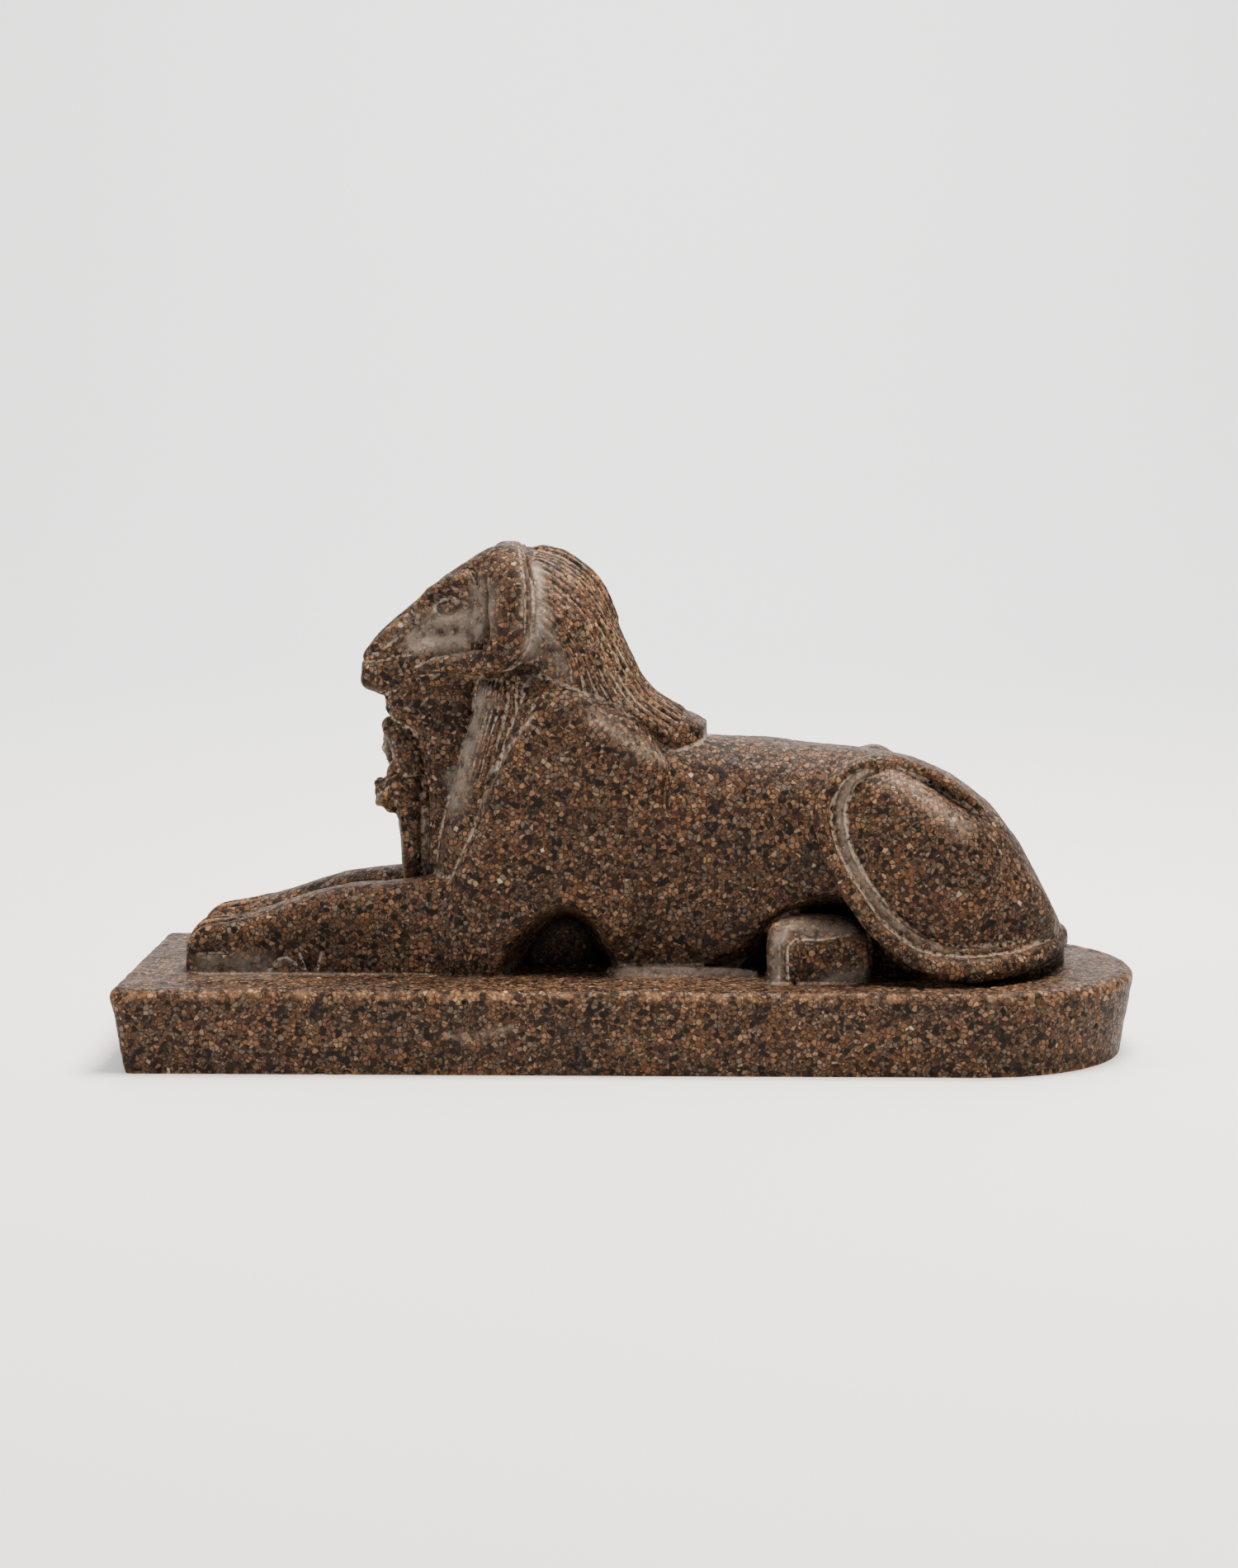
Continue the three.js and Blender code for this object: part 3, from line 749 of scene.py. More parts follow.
king = {
    "body": [  # z, front, back, half width
        [-1.2, -67.6, -60, 5.6],
        [3, -67.4, -60, 5.6],
        [5, -65.4, -60, 5.4],
        [20, -65.4, -60, 5.8],
        [33, -66.2, -59.6, 6.6],
        [40, -66.6, -59.6, 6.8],
        [46, -67.6, -59.6, 7.8],
        [50.4, -67.8, -59.6, 8.4],
        [52.6, -66.8, -59.6, 7.4],
        [54.2, -65.8, -60, 5],
        [56.4, -65.4, -60, 4],
    ],
    "arms": [
        [42.6, -67.4, -61, 4.4],
        [43.6, -70.4, -61, 6],
        [46.4, -72.2, -61, 7.2],
        [50.4, -72.4, -61, 7.8],
        [52.6, -70.6, -61, 7],
        [53.8, -67.4, -61, 5],
    ],
    "face": [
        [55.6, -67.4, -62, 2.6],
        [57, -69.4, -62, 3.5],
        [60, -70.4, -62, 4.2],
        [64, -70.8, -62, 4.3],
        [66.4, -70.4, -62, 4],
        [67.6, -68, -62, 3],
    ],
    "headcloth": [
        [53.6, -66.4, -60, 6],
        [55.4, -67.2, -59.4, 7],
        [59, -67.8, -59, 7],
        [63, -69, -59, 6.4],
        [66, -71, -59, 5.6],
        [68.6, -70.6, -59.6, 4.6],
        [70.2, -68, -61, 2.8],
    ],
    "spine": [
        [-1.2, -62, -50, 3.4],
        [30, -62, -50, 3.8],
        [64, -62, -50, 4],
        [68, -63, -50, 4],
    ],
    "web": [
        [-1.2, -58.4, -44, 8],
        [20, -58, -43, 8.4],
        [40, -57.6, -42, 8.8],
        [58, -58.8, -42, 8.8],
        [66, -61.4, -42, 8.8],
        [70, -67.6, -42, 8.2],
        [72.4, -69.6, -42, 8],
        [76, -69.8, -42, 8.2],
        [80, -66, -42, 9],
        [84, -60, -42, 9.4],
    ],
    "powers": {"body": 3.4, "arms": 2.5, "face": 2.2, "headcloth": 3, "spine": 3, "web": 4},
    "forearm": [  # x, y, z, half width, half thickness
        [-65.6, -7.6, 51.6, 1.7, 1.7],
        [-69.4, -6.4, 47.6, 1.7, 1.7],
        [-71.4, -2.4, 46.4, 1.6, 1.5],
        [-71.8, 1.4, 48.6, 1.6, 1.5],
        [-71.6, 3.8, 51.4, 1.9, 1.6],
    ],
    "clothEnd": [
        [-65.6, -5.4, 57.6, 1.6, 1.3],
        [-67.8, -4.8, 55, 1.6, 1.3],
        [-68.6, -4.2, 52, 1.5, 1.2],
    ],
}


# The king's forms: level sections for body, face, headcloth and the web behind him, and bars for his
# crossed arms and the ends of the headcloth.
def kingShells():
    def forward(place):
        return place * np.array([0, 0, 0]) + np.array([-1.0, 0, 0])

    forms = [levelSections(king[name], 90, 80, power) for name, power in king["powers"].items()]
    bars = [sweep(king[name], forward, 60, 24, 2.4) for name in ("forearm", "clothEnd")]
    return [shell(rings) for rings in (*forms, *bars, *map(mirrored, bars))]


# Joining

# A mesh datablock from arrays of points and of triangles or quads.
def meshFrom(name, points, faces):
    mesh = bpy.data.meshes.new(name)
    mesh.vertices.add(len(points))
    mesh.vertices.foreach_set("co", np.ascontiguousarray(points, np.float32).ravel())
    mesh.loops.add(faces.size)
    mesh.loops.foreach_set("vertex_index", np.ascontiguousarray(faces, np.int32).ravel())
    mesh.polygons.add(len(faces))
    mesh.polygons.foreach_set("loop_start", np.arange(0, faces.size, faces.shape[1], dtype=np.int32))
    mesh.update(calc_edges=True)
    return mesh


# The mesh after some modifiers, each a type and its settings.
def modified(mesh, modifiers):
    holder = bpy.data.objects.new("holder", mesh)
    bpy.context.scene.collection.objects.link(holder)
    for kind, settings in modifiers:
        modifier = holder.modifiers.new(kind, kind)
        for key, value in settings.items():
            setattr(modifier, key, value)
    evaluated = holder.evaluated_get(bpy.context.evaluated_depsgraph_get())
    result = bpy.data.meshes.new_from_object(evaluated)
    bpy.data.objects.remove(holder)
    return result


# A mesh's points and its faces as arrays, all faces having the same number of corners.
def arraysOf(mesh):
    points = np.zeros(len(mesh.vertices) * 3, np.float32)
    mesh.vertices.foreach_get("co", points)
    corners = np.zeros(len(mesh.loops), np.int32)
    mesh.loops.foreach_get("vertex_index", corners)
    return points.reshape(-1, 3).astype(float), corners.reshape(len(mesh.polygons), -1)


# Shells put side by side in one mesh, the faces' numbers moved on by the points before them.
def together(shells):
    offsets = np.cumsum([0] + [len(points) for points, _ in shells[:-1]])
    points = np.vstack([points for points, _ in shells])
    return points, np.vstack([faces + offset for (_, faces), offset in zip(shells, offsets)])


# One skin round overlapping shells, in cells of the given size, with some smoothing steps.
def fused(shells, cell, smoothing):
    mesh = meshFrom("shells", *together(shells))
    steps = [("REMESH", {"mode": "VOXEL", "voxel_size": cell, "use_smooth_shade": True})]
    if smoothing:
        steps.append(("SMOOTH", {"factor": 0.5, "iterations": smoothing}))
    result = modified(mesh, steps)
    bpy.data.meshes.remove(mesh)
    return arraysOf(result)


trunkForms = [torsoRings(), levelSections(body["chest"], 80, 100, 2.6)]
for rings in (shoulderRings(), ledgeRings(), haunchRings(), limbRings(body["foreleg"], (3.2, 9), 160)):
    trunkForms += [rings, mirrored(rings)]
trunk = fused([shell(rings) for rings in trunkForms], 1.0, body["blend"])
trunk = (pressHollows(trunk[0]), trunk[1].reshape(-1, 4)[:, [0, 1, 2, 0, 2, 3]].reshape(-1, 3))
print("trunk fused,", len(trunk[0]), "points")

pawRings = limbRings(body["hindPaw"], (3, 9), 80)
furrows = sum(np.exp(-(((-pawRings[..., 1] - y) / 0.8) ** 2)) for y in body["hindToes"])
pawRings = raisedBy(pawRings, -1.2 * furrows * ease(47, 42, pawRings[..., 0]))
parts = [trunk, plinthShell(), *tailShells(), headShell(), wigShell(), *kingShells()]
for rings in (pawRings, hornRings(), lappetRings()):
    parts += [shell(rings), shell(mirrored(rings))]
cell = 0.38
points, quads = fused(parts, cell, 1)
print("statue fused,", len(points), "points")


# Relief, worked on the fused skin

# Each point's outward direction: the face normals round it, added up by corner.
def normalsOf(points, quads):
    a, b, c, d = (points[quads[:, k]] for k in range(4))
    face = np.cross(c - a, d - b)
    total = np.zeros_like(points)
    for k in range(3):
        total[:, k] = np.bincount(quads.ravel(), np.repeat(face[:, k], 4), len(points))
    return total / (np.linalg.norm(total, axis=1, keepdims=True) + 1e-12)


# The mean of each point's neighbours, over the skin's edges, taken again and again.
def softened(values, quads, times):
    start = np.concatenate([quads[:, k] for k in range(4)])
    end = np.concatenate([quads[:, (k + 1) % 4] for k in range(4)])
    count = np.bincount(start, minlength=len(values)) + np.bincount(end, minlength=len(values))
    result = values.copy()
    for _ in range(times):
        total = np.empty_like(result)
        for k in range(result.shape[1]):
            onward = np.bincount(start, result[end, k], len(values))
            total[:, k] = onward + np.bincount(end, result[start, k], len(values))
        result = total / np.maximum(count, 1)[:, None]
    return result


# A smooth uneven field: sine waves in seeded directions, about one wave to each length.
def uneven(points, length, seed, waves=14):
    draw = np.random.default_rng(seed)
    direction = draw.normal(size=(waves, 3))
    spread = draw.uniform(0.6, 1.4, (waves, 1))
    direction *= 2 * np.pi / length / np.linalg.norm(direction, axis=1, keepdims=True) * spread
    return np.sin(points @ direction.T + draw.uniform(0, 2 * np.pi, waves)).sum(1) / math.sqrt(waves)


# Cracks curled on the near paw, and the bends of the hind paw, in side view: [x, z]
curls = [
    [[-101.2, 0.8], [-98.7, 4], [-96.2, 4.7], [-93.5, 2.6]],
    [[-92.5, 5.7], [-91.2, 1.3]],
    [[-86.3, 6.2], [-87.8, 0.9]],
]
pawBends = [
    [[42.7, 0.6], [42.6, 10], [44.7, 12.2], [51.8, 12], [57, 12.8], [63, 14]],
    [[40.2, 0.6], [40.4, 10], [42.6, 14.6], [47, 16.6]],
]

relief = {
    # strokes in side view: [x, z] points, width, height, and the least distance from the middle plane
    "strokes": [
        ([[-60, 100.6], [-56.4, 105], [-51.6, 108], [-46.6, 109.2]], 1.3, 1.7, 3),
        ([[-57.6, 101.2], [-54.6, 104.2], [-50.4, 105.4], [-45.6, 103.6]], 0.75, 0.7, 3),
        ([[-57.2, 100.4], [-54.2, 98.2], [-50, 97.8], [-45.6, 99.6]], 0.75, 0.55, 3),
        ([[-41.4, 110], [-40.8, 102], [-41.4, 95], [-44, 90.6]], 1.6, 1.3, 5),
        ([[-45, 111], [-43.6, 108]], 0.9, -1.8, 3),
        ([[-76, 85.8], [-70, 86.4], [-65.6, 87.4], [-61.8, 88.4]], 0.65, -0.8, 0),
        ([[-73, 89.4], [-68, 93.8], [-62.4, 98.4]], 1.1, 0.9, 3.6),
        ([[-72, 87.6], [-66.6, 92.4], [-60.6, 96.6]], 1.4, -0.8, 4),
        ([[-65, 91], [-58, 93], [-50, 94.4], [-45, 93]], 2.4, -1.1, 4),
        ([[-75.4, 90.4], [-73.8, 88.6], [-72, 88.2]], 0.6, -0.7, 2.6),
        ([[-27.4, 75.6], [-31.2, 69.4], [-35.6, 61.4], [-40, 53]], 1.0, -1.2, 16),
        ([[-121, 5.6], [-113, 6]], 0.7, -0.4, 17),
        *((line, 0.4, -0.5, 19) for line in curls),
        (pawBends[0], 0.6, -0.5, 20),
        (pawBends[1], 0.6, -0.5, 16),
    ],
    "eye": {"place": [-52.4, 101.2], "size": [2.3, 2.0], "height": 1.5},
    "socket": {"place": [-50.8, 101.6], "size": [6.2, 4.2], "height": -1.7},
    "toes": [(9, -106), (13, -103), (17, -106)],  # y of the furrows, and where along x they end
    "toeStart": -125,
    # the king's face, a plain one on the usual halves and thirds: distance from the middle, z, half
    # width, half height, relief
    "face": [
        [0, 61, 0.55, 1.5, 0.9],
        [1.7, 62, 1.1, 0.7, -0.5],
        [1.7, 62, 0.6, 0.32, 0.5],
        [1.8, 63.4, 1.5, 0.35, 0.35],
        [0, 58.5, 1.3, 0.25, -0.5],
        [0, 57.8, 1, 0.35, 0.3],
        [0, 56.4, 1, 0.6, 0.35],
    ],
    "knobs": 0.22,  # on the king, where the grit stands out
    "toeWidth": 0.75,
    "toeDepth": 1.6,
    "unevenness": [(34, 0.22, 3), (11, 0.12, 4), (4.2, 0.07, 5)],  # length, height, seed
}


# Heights over the skin: a bell across each stroke's line, bells for eye and socket, furrows at fixed y
# between the toes, and a soft unevenness all over but for the underside.
def reliefHeight(points):
    x, y, z = points.T
    side = np.abs(y)
    height = np.zeros(len(points))
    onFigure = z > 1
    for line, width, swell, inner in relief["strokes"]:
        left, right = np.min(line, 0)[0] - 4, np.max(line, 0)[0] + 4
        near = onFigure & (side >= inner) & (x > left) & (x < right)
        gap = distanceTo(line, points[near][:, [0, 2]])
        height[near] += swell * np.exp(-((gap / width) ** 2))
    for name in ("eye", "socket"):
        place, size = relief[name]["place"], relief[name]["size"]
        gap = ((x - place[0]) / size[0]) ** 2 + ((z - place[1]) / size[1]) ** 2
        height += relief[name]["height"] * np.exp(-(gap**1.5)) * (side > 4) * onFigure
    for across, stop in relief["toes"]:
        along = ease(stop, stop - 8, x) * (x > relief["toeStart"]) * (z > 0.4)
        height -= relief["toeDepth"] * along * np.exp(-(((side - across) / relief["toeWidth"]) ** 2))
    front = (x < -68) * (z > 54) * (z < 66)
    for across, up, width, tall, swell in relief["face"]:
        height += front * swell * np.exp(-(((side - across) / width) ** 2) - ((z - up) / tall) ** 2)
    knobbly = (x < -57) * ease(38, 44, z) * ease(80, 74, z) * ease(12, 9, side) * (1 - 0.8 * front)
    height += knobbly * relief["knobs"] * uneven(points, 3.4, 9)
    aboveFoot = ease(-plinthTop + 0.4, -plinthTop + 2.5, z)
    for length, swell, seed in relief["unevenness"]:
        height += swell * uneven(points, length, seed) * aboveFoot
    return height


pits = {
    # air holes in the plinth's side and on the figure that the photograph shows: [x, y, z, radius]
    "placed": [
        [-44.7, -45, -2.8, 0.8],
        [88.4, -33, 14.8, 0.8],
        [105.7, -24, 12, 0.9],
        [120, -38, -7, 1.1],
        [127.5, -32, -11, 1.0],
        [130, -30, -15, 0.9],
        [96, -45, -3, 0.7],
        [88, -45, -8, 0.6],
        [-84.4, -43.6, -23.4, 1.5],
        [-77, -43.6, -23.4, 1.2],
    ],
    "scattered": 70,
    "radius": (0.35, 0.75),
    "seed": 11,
}


# Round pits: a deep bell at each centre, for the placed ones and for points drawn from the skin.
def pitMask(points):
    draw = np.random.default_rng(pits["seed"])
    skin = points[points[:, 2] > -plinthTop + 2]
    chosen = skin[draw.integers(0, len(skin), pits["scattered"])]
    radii = draw.uniform(*pits["radius"], pits["scattered"])
    centres = [(np.array(row[:3]), row[3]) for row in pits["placed"]] + list(zip(chosen, radii))
    mask, depth = np.zeros(len(points)), np.zeros(len(points))
    for centre, radius in centres:
        near = np.flatnonzero(np.abs(points - centre).max(1) < radius * 2.5)
        gap = np.linalg.norm(points[near] - centre, axis=1) / radius
        mask[near] = np.maximum(mask[near], np.exp(-(gap**4)))
        depth[near] = np.maximum(depth[near], 1.1 * radius * np.exp(-(gap**4)))
    return mask, depth


normals = normalsOf(points, quads)
pit, pitDepth = pitMask(points)
points = points + normals * (reliefHeight(points) - pitDepth)[:, None]
print("relief carved")

# How hollow the skin is at each point, in the tables' millimetres: how far the softened skin stands over it.
normals = normalsOf(points, quads)
scale = (0.38 / cell) ** 2
soft = softened(points, quads, max(2, round(6 * scale)))
fine = ((soft - points) * normals).sum(1)
# The broad measure darkens hollows as painted shade in the material.
broad = ((softened(soft, quads, max(8, round(44 * scale))) - points) * normals).sum(1)
print("hollows measured")

# Grey films of resin, dried in recesses: [x, z] points of a line, its width, the least and greatest
# distance from the middle plane, the share laid on, and the sides that have it
films = [
    ([[-62, 93], [-54, 92], [-46, 93], [-41.4, 98], [-41, 106]], 3.4, 6, 30, 1, "both"),
    ([[-56, 97], [-48, 97.6], [-43, 101]], 2.6, 6, 30, 1, "both"),
    ([[-26.8, 112], [-25.6, 104], [-26, 96], [-28, 90]], 2.2, 10, 30, 1, "both"),
    (
        [[64, 57.6], [59, 55], [56.8, 50], [56.6, 44], [58.8, 35.1], [64.6, 24.9], [71, 17.4], [78.4, 11.8]],
        1.1,
        18,
        32.6,
        0.75,
        "near",
    ),
    ([[78, 12], [86, 9.4]], 0.7, 18, 33, 0.7, "near"),
    ([[-119, 3], [-100, 2.4]], 2.6, 19, 30, 0.8, "both"),
    ([[-3, 1.4], [8, 1.6], [22, 2.2], [33, 1.4]], 1.7, 12, 26, 0.8, "both"),
    ([[44.4, 15.4], [52, 14.8], [62, 15.4]], 2.2, 14, 34, 0.75, "both"),
    ([[39.6, 1], [39.8, 11], [42, 14.6]], 1.9, 14, 34, 1, "both"),
    ([[53, 1.4], [63, 2.2]], 1.5, 20, 34, 0.9, "both"),
    ([[-42, 76], [-46, 64], [-50, 48]], 3.4, 9, 30, 1, "both"),
    ([[-23.6, 100], [-22.4, 92], [-19, 84]], 2.2, 12, 30, 0.6, "both"),
]
# The same for pale lines: thin resin or dust in cracks and joints, and painted highlights along ridges and
# edges
pales = [
    *((line, 0.4, 19, 30, 1, "near") for line in curls),
    ([[-49.9, -12.4], [-40.6, -12.9], [-32.3, -10]], 0.6, 43, 46, 1, "near"),
    ([[-121, 0.1], [-38, 0.1]], 0.3, 20.6, 22.4, 0.7, "both"),
    ([[38, 0.1], [62, 0.1]], 0.3, 30.6, 32.6, 0.7, "both"),
    (pawBends[0], 0.35, 20, 34, 0.45, "both"),
    (pawBends[1], 0.35, 14, 34, 0.35, "both"),
    ([[-3, 1], [6, 0.6], [20, 0.8], [34, 0.6]], 0.5, 12, 26, 0.4, "both"),
    ([[-36, 0.6], [-32, 2.4]], 1.0, 14, 26, 0.6, "both"),
    ([[-26.4, 112], [-25.4, 104], [-25.8, 97], [-28.4, 91]], 1.2, 10, 30, 0.8, "both"),
    ([[-30.8, 112.8], [-29.8, 108], [-30.1, 101.2], [-30.8, 96.7]], 0.5, 12, 30, 0.8, "both"),
    # painted highlight along the ridge below the nose bridge
    ([[-60, 99.7], [-63.9, 95.9], [-70, 90.5]], 0.9, 3, 30, 0.7, "both"),
    ([[-62.3, 88.3], [-57, 90.6], [-57.7, 92.1]], 1.2, 3, 30, 0.6, "both"),
    # painted highlights: the back of the shoulder's ledge, the shoulder's front edge, the haunch's ridge and
    # the tail's right edge
    ([[-11, 72.6], [-3.3, 67.4], [2.7, 63.2], [8, 60.4]], 1.7, 18, 30, 0.8, "both"),
    ([[-27.3, 72.3], [-33.4, 64.7], [-37.9, 56.4], [-41, 48.8]], 0.6, 16, 30, 0.7, "both"),
    ([[70.7, 57.2], [76.4, 53.6], [84.1, 47.4], [90.4, 42.4]], 2.4, 20, 36, 0.6, "both"),
    (
        [[66, 58.8], [60.4, 56], [58.2, 50.6], [58, 44], [60.4, 35.6], [66.2, 25.8], [72, 19]],
        0.35,
        18,
        32,
        0.45,
        "near",
    ),
]


# How much of each point the patches cover: a bell across each line, on the figure and the plinth.
def coverOf(patches):
    cover = np.zeros(len(points))
    for line, width, inner, outer, share, sides in patches:
        side = -points[:, 1] if sides == "near" else np.abs(points[:, 1])
        least, most = np.min(line, 0) - 6, np.max(line, 0) + 6
        inside = ((points[:, [0, 2]] > least) & (points[:, [0, 2]] < most)).all(1)
        chosen = np.flatnonzero(inside & (side > inner) & (side < outer))
        gap = distanceTo(line, points[chosen][:, [0, 2]])
        bell = share * np.exp(-((gap / width) ** 2))
        cover[chosen] = np.maximum(cover[chosen], bell)
    return cover


filmAndHighlight, pale = coverOf(films), coverOf(pales)
# Painted highlight, partly wear: the plinth's rounded top edge counts as more convex, so that the warm cream
# of worn edges lies stronger along it.
plinthEdge = ease(-4.2, -1.6, points[:, 2]) * (points[:, 2] < 0.2) * ease(0.995, 0.9, normals[:, 2])
fine *= 1 - 0.65 * (points[:, 2] < 1.2) * (points[:, 2] > -0.6)
fine *= 1 - 0.65 * filmAndHighlight
fine -= 0.12 * plinthEdge

# Painted highlight: the king's faces that look forward get the film's grey too, below and above his arms.
x, y, z = points.T
ahead = ease(0.55, 0.85, -normals[:, 0]) * (np.abs(y) < 6) * (x < -62) * (x > -74)
filmAndHighlight = np.maximum(filmAndHighlight, 0.9 * ahead * (z > 6) * ((z < 43) | (z > 56)) * (z < 69))

# Painted shade: inside the elbow and flank hollows the broad measure is raised, so that they are painted
# darker.
for name in ("elbow", "flank"):
    line = closedLine(hollows[name]["outline"], 60)
    sideView = points[:, [0, 2]]
    inside = ease(1.5, 5, distanceTo(line, sideView, closed=True)) * insideOf(line, sideView)
    broad += 0.9 * inside * (z > 0.4) * ease(19, 15, np.abs(y))

broad *= 1 - 0.8 * filmAndHighlight
places = (points + np.array([0, 0, plinthTop])) * unit
places[:, 2] = np.where(points[:, 2] < -plinthTop + 0.25, 0, places[:, 2])
places = np.clip(places, low, high)
skin = meshFrom("sphinxStatue", places, quads)
layers = {"fineHollow": fine, "broadHollow": broad, "filmAndHighlight": filmAndHighlight, "pale": pale, "pit": pit}
for name, values in layers.items():
    layer = skin.attributes.new(name, "FLOAT", "POINT")
    layer.data.foreach_set("value", values.astype(np.float32))
triangleLimit = 190000
share = min(1, triangleLimit / (2 * len(quads)))
final = modified(skin, [("DECIMATE", {"ratio": share})])
bpy.data.meshes.remove(skin)
corners = np.empty(3 * len(final.vertices))
final.vertices.foreach_get("co", corners)
final.vertices.foreach_set("co", np.clip(corners.reshape(-1, 3), low, high).ravel())
final.name = "sphinxStatue"
final.polygons.foreach_set("use_smooth", np.ones(len(final.polygons), bool))
statue = bpy.data.objects.new("sphinxStatue", final)
bpy.context.scene.collection.objects.link(statue)
print("statue thinned to", len(final.polygons), "faces")


# Material

# Feeds a node's input with a field's link, or else with a plain number, vector or colour.
def feed(tree, slot, value):
    if isinstance(value, Field):
        tree.links.new(value.socket, slot)
    else:
        slot.default_value = (*value, 1) if slot.type == "RGBA" else value


# A socket with the operators of a number, so that shader maths reads as an expression.
class Field:
    def __init__(self, tree, socket):
        self.tree, self.socket = tree, socket

    def math(self, operation, *others, clamp=False):
        node = self.tree.nodes.new("ShaderNodeMath")
        node.operation, node.use_clamp = operation, clamp
        for slot, value in zip(node.inputs, (self, *others)):
            feed(self.tree, slot, value)
        return Field(self.tree, node.outputs[0])

    def __add__(self, other):
        return self.math("ADD", other)

    def __sub__(self, other):
        return self.math("SUBTRACT", other)

    def __mul__(self, other):
        return self.math("MULTIPLY", other)

    def __truediv__(self, other):
        return self.math("DIVIDE", other)

    def __radd__(self, other):
        return self.math("ADD", other)

    def __rmul__(self, other):
        return self.math("MULTIPLY", other)

    def __rsub__(self, other):
        return (self * -1.0).math("ADD", other)

    # 0 below start, 1 above end, smooth between.
    def between(self, start, end):
        node = self.tree.nodes.new("ShaderNodeMapRange")
        node.interpolation_type = "SMOOTHSTEP"
        self.tree.links.new(self.socket, node.inputs[0])
        node.inputs[1].default_value, node.inputs[2].default_value = start, end
        return Field(self.tree, node.outputs[0])

    def clamped(self):
        return self.math("ADD", 0.0, clamp=True)


# Builds nodes of one material: any node by its type, settings first and then its inputs.
class Board:
    def __init__(self, name):
        self.material = bpy.data.materials.new(name)
        self.material.use_nodes = True
        self.tree = self.material.node_tree
        self.tree.nodes.clear()

    def node(self, kind, output=0, settings=None, **inputs):
        node = self.tree.nodes.new("ShaderNode" + kind)
        for key, value in (settings or {}).items():
            setattr(node, key, value)
        for key, value in inputs.items():
            feed(self.tree, node.inputs[key.replace("_", " ")], value)
        return Field(self.tree, node.outputs[output])

    def attribute(self, name):
        return self.node("Attribute", "Fac", {"attribute_name": name})

    def mix(self, factor, a, b, blend="MIX"):
        node = self.tree.nodes.new("ShaderNodeMix")
        node.data_type, node.blend_type = "RGBA", blend
        for slot, value in ((node.inputs[0], factor), (node.inputs[6], a), (node.inputs[7], b)):
            feed(self.tree, slot, value)
        return Field(self.tree, node.outputs[2])

    def vector(self, operation, a, b):
        node = self.tree.nodes.new("ShaderNodeVectorMath")
        node.operation = operation
        for slot, value in zip(node.inputs, (a, b)):
            feed(self.tree, slot, value)
        return Field(self.tree, node.outputs[0])

    def ramp(self, value, stops, interpolation="CONSTANT"):
        node = self.tree.nodes.new("ShaderNodeValToRGB")
        node.color_ramp.interpolation = interpolation
        while len(node.color_ramp.elements) < len(stops):
            node.color_ramp.elements.new(0.5)
        for element, (place, colour) in zip(node.color_ramp.elements, stops):
            element.position = place
            element.color = (*colour, 1)
        self.tree.links.new(value.socket, node.inputs[0])
        return Field(self.tree, node.outputs[0])

    # The colour multiplied by a ramp over value.
    def shaded(self, factor, colour, value, stops):
        return self.mix(factor, colour, self.ramp(value, stops, "LINEAR"), "MULTIPLY")

    def finished(self, surface):
        output = self.tree.nodes.new("ShaderNodeOutputMaterial")
        self.tree.links.new(surface.socket, output.inputs[0])
        return self.material


grit = {
    "coarse": 1.35,  # mm between grains
    "fine": 0.75,
    "warp": 0.6,
    "palette": [
        (0.0, (0.005, 0.004, 0.003)),
        (0.12, (0.022, 0.012, 0.008)),
        (0.28, (0.066, 0.033, 0.017)),
        (0.50, (0.108, 0.056, 0.029)),
        (0.66, (0.135, 0.078, 0.043)),
        (0.79, (0.078, 0.059, 0.042)),
        (0.957, (0.170, 0.110, 0.068)),
        (0.994, (0.270, 0.205, 0.140)),
    ],
    "finePalette": [
        (0.0, (0.008, 0.006, 0.005)),
        (0.25, (0.046, 0.025, 0.014)),
        (0.52, (0.088, 0.044, 0.022)),
        (0.76, (0.068, 0.051, 0.037)),
        (0.94, (0.165, 0.106, 0.065)),
    ],
    "binder": (0.008, 0.005, 0.004),
    # grey of the resin film, and of the painted highlight on the king's front
    "filmAndHighlightGrey": (0.150, 0.124, 0.102),
    "residue": (0.330, 0.270, 0.210),
    # warm cream of worn edges, partly their painted highlight
    "wornAndHighlit": (0.300, 0.160, 0.080),
    # painted shade, laid in hollows and in pits
    "paintedShade": (0.003, 0.002, 0.002),
    "paler": (2.3, 2.4, 2.6),  # how much grains gain under thin resin and painted highlights, and on worn edges with their painted highlight
    "warmer": (2.1, 2.1, 1.9),
    "cover": 0.3,  # share of the plain colour laid over them
    "fineFrom": 0.66,  # cells above this tone break up into fine grit
    # how tone, speckle and large patches shade the grains: value and factor
    "tones": [(0.0, (0.7,) * 3), (1.0, (1.35,) * 3)],
    "speckles": [(0.25, (0.62,) * 3), (0.75, (1.4,) * 3)],
    "patches": [(0.3, (0.72, 0.74, 0.78)), (0.7, (1.16, 1.08, 1.0))],
    "shares": {"seam": 0.9, "paintedShade": 0.96, "filmAndHighlight": 0.8, "residue": 0.62, "pit": 0.85},  # laid on at most
    "bump": 0.00016,  # metres
    "gloss": 0.12,
}
